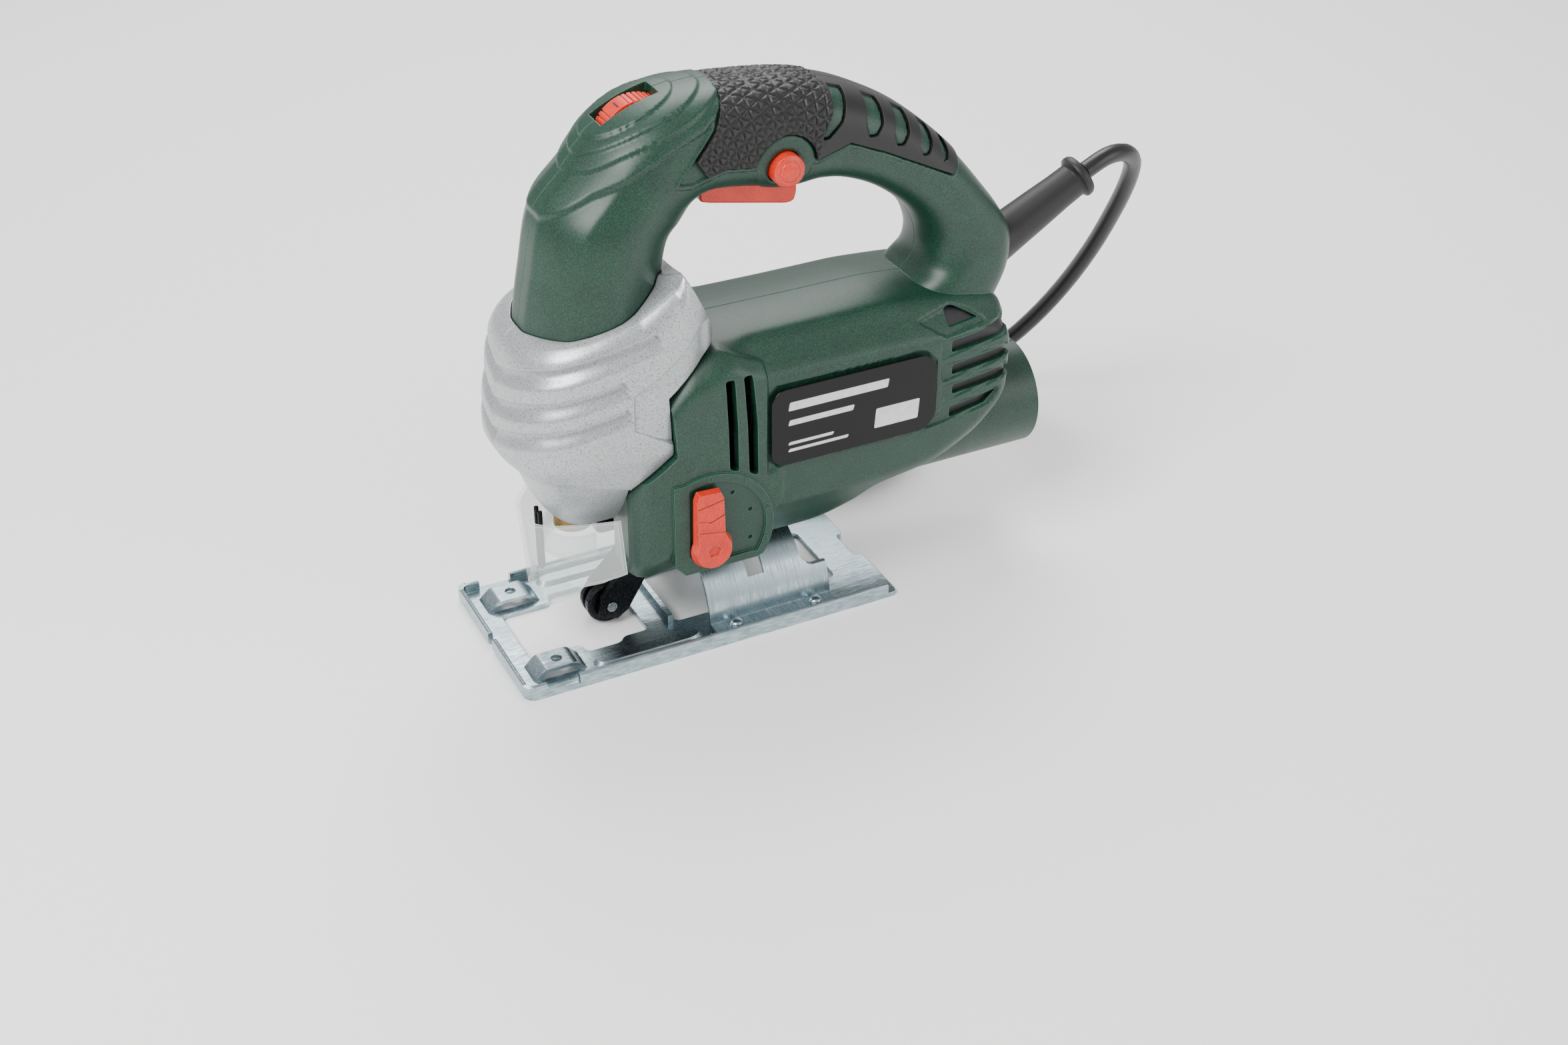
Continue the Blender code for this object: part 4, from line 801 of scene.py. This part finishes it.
def tower_relief(rings):
    """Three gills, the nose below the lower crease, and the sunken panel on each flank."""
    x, y, z = np.moveaxis(rings, 2, 0)
    past = np.maximum(x - 22, 0)
    level = z - 0.3 * np.abs(y) - 0.13 * past - 0.0015 * past ** 2
    lift = 0 * z
    for ledge, end in ((117, 56), (105, 43), (94, 44)):
        drop = ledge - level
        depth = ramp(-0.2, 0.5, drop) * (1 - ramp(1.8, 7.5, drop))
        lift -= 2.2 * depth * (1 - ramp(end - 0.4, end + 0.6, x - 0.5 * drop))
    crease = np.interp(x, [5, 9, 12.8, 24.4, 46.8, 60], [84, 84, 81, 80.3, 72, 66])
    lift -= 1.8 * ramp(0, 0.5, crease - z)
    panel = ((47, 98), (47, 112), (56, 116.5), (66, 123), (75, 131), (95, 135), (95, 85), (63, 88))
    return lift - 1.3 * ramp(-0.3, 0.9, inside(x, z, panel)) * ramp(24, 28, np.abs(y))


tower = tower_rings()
tower = pushed(tower, tower_relief(tower))
cover = combine(closed("cover", tower), ("&", prism(COVER, -60, 60)))
cover = cut(cover, closed("hollow", tower_rings(4.4, 60, 80)),
            closed("column", loop_rings(0, 19, 200, 90, 0.45)), prism(circle(35, 0, 8.3), 30, 62, "z"))
for side, word in SIDES:
    finish_piece("cover_shell_" + word, combine(cover, ("&", half(side))), "silver_paint",
                 "gear_cover_" + word)

# %% [markdown]
# ## The soft grip
# A thin black elastomer skin lies over the handle's shallow bed.  Its front part carries small raised
# triangles for the fingers, the rear part is smooth, and five slanted windows let the green pads through.


# %% Grip skins
def grip_relief(rings):
    """Triangles between three families of lines 3.7 mm apart, 0.6 mm high, over the front; rest smooth."""
    x, y, z = np.moveaxis(rings, 2, 0)
    along = np.cumsum(np.r_[0, np.linalg.norm(np.diff(rings.mean(1), axis=0), axis=1)])[:, None] + 0 * x
    around = np.cumsum(np.linalg.norm(rings - np.roll(rings, 1, 1), axis=2), axis=1)
    around = around - around.mean(1, keepdims=True)
    lines = [(along * math.cos(t) + around * math.sin(t)) / 3.7 for t in np.radians([0, 60, 120])]
    nearest = np.min([np.abs(v - np.round(v)) for v in lines], axis=0) * 3.7
    zone = inside(x, z, [(60, 178), (100, 150), (124, 178), (131, 190), (131, 215), (60, 215)])
    return 0.1 + 0.6 * ramp(0.12, 0.45, nearest) * ramp(0.5, 1.2, zone)


skin = loop_rings(6.2, 16.0, 360, 250)
skin = pushed(skin, grip_relief(skin))
soft = combine(closed("skin", skin), ("&", prism(GRIP, -60, 60)),
               ("-", closed("core", loop_rings(5.8, 16.4, 90, 70, 1.4))))
for window in WINDOWS:
    soft = cut(soft, prism(rounded(window, 1), -60, -7), prism(rounded(window, 1), 7, 60))
soft = cut(soft, trigger_gap)
for side, word in SIDES:
    finish_piece("grip_skin_" + word, combine(soft, ("&", half(side))), "black_rubber",
                 "grip_overmould_" + word, angle=40)

# %% [markdown]
# ## Controls
# The lever, trigger, lock-on button and speed dial share one orange-red plastic.  The lever and trigger get a
# small moulded radius on each edge.  The scale beside the lever has four raised position numbers.


# %% Red controls
def soften(piece, width, segments=2):
    """Moulded radius on sharp edges."""
    bevel = piece.modifiers.new("radius", "BEVEL")
    bevel.width, bevel.segments = width * MM, segments
    bevel.limit_method, bevel.angle_limit = "ANGLE", math.radians(35)


def coordinates(mesh):
    """A mesh's points as an array (count, 3)."""
    flat = np.empty(len(mesh.vertices) * 3)
    mesh.vertices.foreach_get("co", flat)
    return flat.reshape(-1, 3)


def numeral(word, size, x, y, z):
    """Flat raised figure that faces the left side."""
    curve = bpy.data.curves.new("figure", "FONT")
    curve.body, curve.size, curve.extrude, curve.align_x, curve.align_y = word, size, 0.2, "CENTER", "CENTER"
    curve.offset = 0.004 * size
    holder = show("figure", curve)
    bpy.context.view_layer.update()
    mesh = bpy.data.meshes.new_from_object(holder.evaluated_get(bpy.context.evaluated_depsgraph_get()))
    bpy.data.objects.remove(holder, do_unlink=True)
    u, v, w = coordinates(mesh).T
    mesh.vertices.foreach_set("co", world(np.stack([x + u, y - w, z + v], 1)).ravel())
    return mesh


HUB = (74.0, 44.2)
sweep = np.radians(np.linspace(152, 388, 40))
stem = np.array([(78.3, 51), (77.8, 66), (76.8, 68.4), (68.6, 68.9), (67.5, 66.4)])
face = np.concatenate([arc(*HUB, 6.8, sweep), stem])
skirt = np.concatenate([arc(*HUB, 8, sweep), stem + [(0.3, 0), (0.3, 0), (0.2, 0.3), (-0.2, 0.3), (-0.3, 0)]])
lever = combine(prism(face, -38.2, -35.6, tip=skirt), ("+", prism(skirt, -35.7, -34.9)),
                ("+", prism(circle(*LEVER, 4), -35, -26)))
GROOVES = ((66, 62.6, 80, 65.2), (66, 58.4, 73, 56.6), (72, 56.2, 80, 59.4), (66, 53.4, 80, 50.8))
for x, z, far_x, far_z in GROOVES:
    lever = cut(lever, prism([(x, z), (far_x, far_z), (far_x, far_z + 0.7), (x, z + 0.7)], -39, -37.7))
lever = cut(lever, prism(arc(*HUB, 2.7, np.radians([90, 18, -54, -126, -198])), -39, -37.4))
soften(finish_piece("pendulum_lever", lever, "red_plastic", "orbital_lever", body="lever"), 0.35)

trigger = rounded([(85, 164.5), (88, 163.6), (118, 157.6), (120.8, 158), (121.8, 161), (121.8, 172),
                   (85, 172)], 1.2, 4)
soften(finish_piece("trigger_bar", prism(trigger, -6.5, 6.5), "red_plastic", "trigger", body="trigger_key"),
       0.9, 3)


def turned(profile, start, direction, count=56):
    """Profile of (radius, distance) pairs spun about a line from start."""
    ahead = np.array(direction, float) / np.linalg.norm(direction)
    side = np.cross(ahead, (0, 1, 0) if abs(ahead[1]) < 0.9 else (1, 0, 0))
    side /= np.linalg.norm(side)
    up, t = np.cross(ahead, side), np.arange(count) * 2 * math.pi / count
    spoke = np.cos(t)[:, None] * side + np.sin(t)[:, None] * up
    r, d = np.array(profile, float).T
    return np.array(start, float) + d[:, None, None] * ahead + r[:, None, None] * spoke


button = turned([(5.9, 0), (5.9, 9.3), (5.7, 9.9), (5.2, 10.3), (4.2, 10.5), (4, 10.25), (3.7, 10.25),
                 (3.4, 10.6), (1.8, 11.1), (0.3, 11.2)], (LOCK[0], -12, LOCK[1]), (0, -1, 0))
finish_piece("lock_on_button", closed("button", button), "red_plastic", "lock_button", body="lock_key")

FIGURE_AT = 118                  # where the dial's figure sits at rest, in degrees round its axle
angle = np.linspace(0, 2 * math.pi, 1440, endpoint=False)
panel = np.abs(np.degrees(angle) - FIGURE_AT) < 13
teeth = np.where(panel, 0.8, 0.8 * ramp(0.15, 0.6, np.abs(np.sin(angle * 24))))
dial = combine(prism(arc(*DIAL, 14.2 + teeth, angle), -3.9, 3.9),
               ("+", prism(arc(*DIAL, 13.9, angle), -4.7, 4.7)), ("-", prism(circle(*DIAL, 2.3), -6, 6)))
finish_piece("speed_wheel", dial, "red_plastic", "speed_dial", body="dial_wheel", angle=25)

for word, clock in (("0", 0), ("1", 36), ("2", 74.5), ("3", 109)):
    t = math.radians(90 - clock)
    x, z = LEVER[0] + 23.4 * math.cos(t), LEVER[1] + 1 + 23.4 * math.sin(t)
    finish_piece("scale_" + word, numeral(word, 3.6, x, -34.62, z), "green_abs")

figure = numeral("1", 5.2, 0, 0, 0)
u, depth, v = (coordinates(figure) / MM - [FRONT / MM, 0, 0]).T
t = math.radians(FIGURE_AT)
c, s, rim = math.cos(t), math.sin(t), 15.05 - depth
points = np.stack([DIAL[0] + rim * c - u * s, -v, DIAL[1] + rim * s + u * c], 1)
figure.vertices.foreach_set("co", world(points).ravel())
finish_piece("dial_figure", figure, "red_plastic", body="dial_wheel", finish=BLACK_NYLON)

# %% [markdown]
# ## Guard, wire, boot and label
# The guard is one clear sheet bowed round the blade, thin and open below.  The boot tapers to a flared lip.
# The rating label is a gloss black plate; plain bars stand in for its print.


# %% Small parts
def sheet(name, outer, inner):
    """Closed sheet between two matching grids (rows, columns, 3)."""
    rows, columns = outer.shape[:2]
    number = np.arange(rows * columns).reshape(rows, columns)
    edge = np.concatenate([number[0], number[1:, -1], number[-1, -2::-1], number[-2:0:-1, 0]])
    step, count = np.roll(edge, -1), rows * columns
    front = quads(rows, columns, False)
    border = np.stack([edge, step, step + count, edge + count], 1)
    points = np.concatenate([outer.reshape(-1, 3), inner.reshape(-1, 3)])
    return mesh_from(name, points, np.concatenate([front[:, ::-1], front + count, border]).tolist())


def guard_face(gap, rows=30, columns=81):
    """Bow in plan from (44, -29.4) round (19, 0) to (44, 29.4), leaning forward, with a rising lower edge."""
    share = np.linspace(-1, 1, columns)
    bow = [(19, 0), (19.2, 8), (21, 11), (31.2, 20.2), (44, 29.4)]
    plan = flowing([0, 0.3, 0.42, 0.7, 1], bow, np.abs(share))
    x, y = plan[:, 0] + gap, np.sign(share) * np.maximum(plan[:, 1] - gap * 0.6, 0)
    low = np.maximum(np.interp(plan[:, 0], [19, 24, 31, 44], [19.6, 19.6, 31, 37]), np.abs(y) + 9.2)
    high = np.interp(plan[:, 0], [19, 24, 44], [54.5, 55.5, 61])
    z = low + np.linspace(0, 1, rows)[:, None] * (high - low)
    return np.stack([x - 0.08 * (z - 20), y + 0 * z, z], -1)


def tab_face(radius, rows=6, columns=49):
    """Wall of a tab behind the shield: 210 degrees of a cylinder about a point 36 mm back, 9 mm high."""
    t = np.radians(np.linspace(75, 285, columns))
    z = np.linspace(37.5, 46.5, rows)[:, None]
    return np.stack([36 + radius * np.cos(t) + 0 * z, radius * np.sin(t) + 0 * z, z + 0 * t], -1)


sight_slot = prism([(-5.5, 70), (5.5, 70), (0.8, 30), (-0.8, 30)], 5, 30, "x")
guard = cut(sheet("guard", guard_face(0), guard_face(1.5)), sight_slot)
finish_piece("blade_shield", guard, "clear_guard", "blade_guard")
finish_piece("finger_tab", sheet("tab", tab_face(12.6), tab_face(11.0)), "clear_guard")

WIRE = ((22, -1.8, 55), (22, -1.8, 36), (22, -1.6, 32), (22, 0, 30.2), (22, 1.6, 32), (22, 1.8, 36),
        (22, 1.8, 55))
wire = path_curve("touch_wire", catmull(WIRE, 8), 0.9, BLACK_STEEL)
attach(wire, "housing")
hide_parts("finger_wire")

BOOT = ((9.2, 0), (9.2, 5), (9.0, 6.2), (8.6, 7.0), (8.1, 16), (7.5, 28), (6.9, 38), (6.7, 45.4), (7.2, 46.2),
        (8.3, 46.9), (8.5, 47.8), (8.3, 49), (7.6, 49.9), (4.4, 50.2))
boot = turned(BOOT, (202, 0, 117.5), np.array([44, 0, 24.3]) / np.linalg.norm([44, 0, 24.3]))
finish_piece("strain_relief", closed("boot", boot), "black_rubber", "cable_boot")

MARKS = ((105, 92, 40, 3.4), (105, 86, 26, 2.2), (105, 78, 18, 1.2), (105, 75.2, 24, 1.2), (140, 76, 18, 8))
for side, word in SIDES:
    plate = prism(rounded(LABEL, 2, 4), side * 33.35, side * 34.2)
    soften(finish_piece("rating_plate_" + word, plate, "label_foil", "label_plate_" + word), 0.25)
    for number, (x, z, long, high) in enumerate(MARKS):
        bar = prism(rounded([(x, z), (x + long, z), (x + long + 0.6, z + high), (x + 0.6, z + high)], 0.5, 3),
                    side * 34.1, side * 34.26)
        finish_piece(f"print_{word}_{number}", bar, "label_foil", finish=PRINT)

plug = rounded([(120, 124.8), (115, 123.2), (109, 115.2), (101, 111.7), (85, 111.2), (81, 113.2), (81, 143.2),
                (85, 145.2), (101, 144.7), (109, 141.2), (115, 133.2), (120, 131.6)], 3, 5)
plug = finish_piece("mains_plug", prism(plug, 0.4, 15.2, "z"), "black_rubber", "plug", finish=CORD_PVC)
soften(plug, 1.2, 3)
PIN = ((2.4, 0), (2.4, 18), (2.1, 18.7), (1.2, 19.1), (0.2, 19.2))
pins = [closed("pin", turned(PIN, (81.4, 128.2 + s, 7.8), (-1, 0, 0), 32)) for s in (-9.5, 9.5)]
finish_piece("plug_pins", combine(pins[0], ("+", pins[1])), "black_rubber", finish=STEEL)

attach(lead, "housing")
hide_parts("power_cord", "cord_coil", "cord_tail")

# %% [markdown]
# The intake slots open onto a black sheet just inside the wall, painted shade that keeps them dark, and four
# recessed-head screws close the right side.

# %% Painted shade behind the vents, and screws
# Painted shade: a black sheet just inside the wall behind the rear vents, so that the slots read dark.
for side, word in SIDES:
    screen = cut(closed("screen", motor_rings(2.8, 90, 160)), closed("room", motor_rings(4.2, 90, 160)))
    screen = combine(screen, ("&", prism(rectangle(157, 60, 203, 130), side * SEAM, side * 40)))
    finish_piece("dust_screen_" + word, screen, "black_nylon")
HEAD = ((3.3, 0), (3.3, 1.6), (3.0, 2.1), (2.4, 2.4), (0.4, 2.5))
for number, (x, y, z) in enumerate(((56, 32.6, 62), (146, 30.4, 108), (110, 22.6, 38), (174, 32, 62)), 1):
    head = closed("screw", turned(HEAD, (x, y, z), (0, 1, 0), 32))
    for u, v in ((0.45, 2), (2, 0.45)):
        head = cut(head, prism(rectangle(x - u, z - v, x + u, z + v), y + 1.4, y + 4))
    finish_piece(f"cross_screw_{number}", head, "blackened_steel", f"housing_screw_{number}")

# %% [markdown]
# ## The pressed steel base
# The sole is one pressing: rims fold up round its edge, two bridges stand up for the fence bar, and a long
# bead stiffens each side.  The tilting bracket is a rolled arch on two riveted feet.


# %% Base pieces
def box(low, high):
    """Square block between two corners."""
    return prism(rectangle(*low[:2], *high[:2]), low[2], high[2], "z")


sole = rounded([(2, -36.4), (151.5, -36.4), (151.5, -8), (148.2, -8), (148.2, 8), (151.5, 8), (151.5, 36.4),
                (2, 36.4)], 2.6)
window = rounded([(10, -15), (30, -15), (30, -20), (44, -20), (46, -17), (56, -17), (56, 17), (46, 17),
                  (44, 20), (30, 20), (30, 15), (10, 15)], 2.5)
plate = cut(prism(sole, 0.1, 2, "z"), prism(window, -1, 4, "z"),
            prism(rounded(rectangle(67, -17, 135, 17), 3), -1, 4, "z"))
strap = rounded([(5.4, 1.2), (10.4, 6.1), (22.6, 6.1), (27.6, 1.2), (25.4, 1.2), (21.6, 4.6), (11.4, 4.6),
                 (7.6, 1.2)], 1.6)
bead_line = np.array([(31, 24.5), (70, 24.5), (74, 28.5), (70, 32.6), (31, 32.6), (28.6, 28.5)])
wall = [(36.5, 1.2), (36.5, 4.6), (36.1, 5.6), (35.3, 6), (34.6, 5.6), (34.4, 4.8), (34.4, 1.2)]
lip = [(0.05, 1.2), (0.05, 4.6), (0.4, 5.5), (1.1, 5.8), (1.9, 5.4), (2.1, 4.6), (2.1, 1.2)]
for side in (-1, 1):
    fold = [(side * y, z) for y, z in wall]
    plate = combine(plate, ("+", prism(fold, 21, 147.6, "x")), ("+", prism(fold, 3, 8.6, "x")))
    plate = combine(plate, ("+", prism(lip, side * 2.2, side * 34)))
    t = np.radians(np.linspace(180, 270, 9))
    outer = np.stack([3.6 + 3.55 * np.cos(t), side * (33 - 3.5 * np.sin(t))], 1)
    inner = np.stack([3.6 + 1.6 * np.cos(t), side * (33 - 1.5 * np.sin(t))], 1)[::-1]
    plate = combine(plate, ("+", prism(np.concatenate([outer, inner]), 1.2, 5.8, "z")))
    hole = prism(circle(17, side * 23.5, 2.0), 3, 8, "z")
    near, far = sorted((side * 18.5, side * 28.5))
    plate = combine(plate, ("-", box((8, near, -1), (26, far, 3))),
                    ("+", prism(strap, side * 18.3, side * 28.7)), ("-", hole))
    bead = rounded(bead_line * [1, side], 3.4)
    crest = (bead - bead.mean(0)) * [0.93, 0.6] + bead.mean(0)
    plate = combine(plate, ("+", prism(bead, 1.5, 3.8, "z", tip=crest)))
plate = combine(plate, ("+", box((64.3, -16.8, 0.6), (66.4, 16.8, 5))))
soften(finish_piece("pressed_sole", plate, "zinc_steel", "base_plate", body="base"), 0.32)

ARCH, ARCH_Z = 27, 2.5               # outer radius of the rolled arch and the height of its axis
t = np.radians(np.linspace(180, 0, 65))
outer, inner = arc(0, ARCH_Z, ARCH, t), arc(0, ARCH_Z, ARCH - 1.5, t)[::-1]
feet = [(33.8, 3.8), (33.8, 2.3), (25.5, 2.3)]
section = np.concatenate([[(-33.8, 2.3), (-33.8, 3.8), (-27.4, 3.8)], outer[3:-3], [(27.4, 3.8)], feet,
                          inner[3:-3], [(-25.5, 2.3)]])
arch = combine(prism(section, 77, 127, "x"),
               ("-", prism([(0, 0), (-44, 34), (-30, 50), (30, 50), (44, 34)], 94.6, 101.4, "x")),
               ("-", prism(rounded([(117, 40), (117, 19), (120, 15.6), (131, 15.6), (131, 40)], 1.5), -40, 40)))
for y, z in arc(0, ARCH_Z, ARCH, np.radians(np.arange(65, 116, 5))):
    arch = cut(arch, prism(circle(y, z, 0.75, 12), 76, 78.1, "x"))
soften(finish_piece("rolled_bracket", arch, "zinc_steel", "tilt_bracket", body="base", finish=ZINC_ARCH), 0.25)
DOME = ((2.6, 0), (2.55, 0.5), (2.2, 1.1), (1.5, 1.55), (0.2, 1.75))
for x, end in ((86, "front"), (119, "rear")):
    for side, word in SIDES:
        dome = closed("rivet", turned(DOME, (x, side * 30.6, 3.9), (0, 0, 1), 32))
        finish_piece(f"rivet_dome_{end}_{word}", dome, "zinc_steel", f"rivet_{end}_{word}", body="base")

# %% [markdown]
# ## Finishes for the parts that stay as they are
# Pressed steel, pins, bearings and the motor keep their engineering shapes, so each only needs its material.

# %% Carried-over parts
kept = 0
for thing in bpy.data.objects:
    for holder in thing.material_slots if thing.type == "MESH" else ():
        base = holder.material.name.split(".")[0] if holder.material else ""
        if base in FINISHES:
            holder.material = FINISHES[base]
            kept += 1
print("finished carried-over slots:", kept)

# %% [markdown]
# ## Floor and light
# A pale floor, and a broad, even light from above and both sides.

# %% Studio
floor = show("floor", bpy.data.meshes.new("floor"))
floor.data.from_pydata([(-3, -3, 0), (3, -3, 0), (3, 3, 0), (-3, 3, 0)], [], [(0, 1, 2, 3)])
floor.data.materials.append(new_finish("White studio paper", Base_Color=linear("#f4f4f3"), Roughness=0.9)[0])
sky = bpy.data.worlds.new("studio")
sky.use_nodes = True
sky.node_tree.nodes["Background"].inputs["Color"].default_value = (1, 1, 1, 1)
sky.node_tree.nodes["Background"].inputs["Strength"].default_value = 0.7
bpy.context.scene.world = sky
LAMPS = (("key", (-0.75, -0.35, 1.0), 0.6, 20), ("side", (0.9, -1.0, 0.5), 0.8, 7),
         ("top", (0.3, 0.7, 1.1), 0.8, 16))
for name, spot, size, power in LAMPS:
    lamp = bpy.data.lights.new(name, "AREA")
    lamp.energy, lamp.size = power, size
    holder = show(name, lamp)
    holder.location = spot
    holder.rotation_euler = (Vector((0, 0, 0.1)) - Vector(spot)).to_track_quat("-Z", "Y").to_euler()

print(len(LAMPS), "lamps")
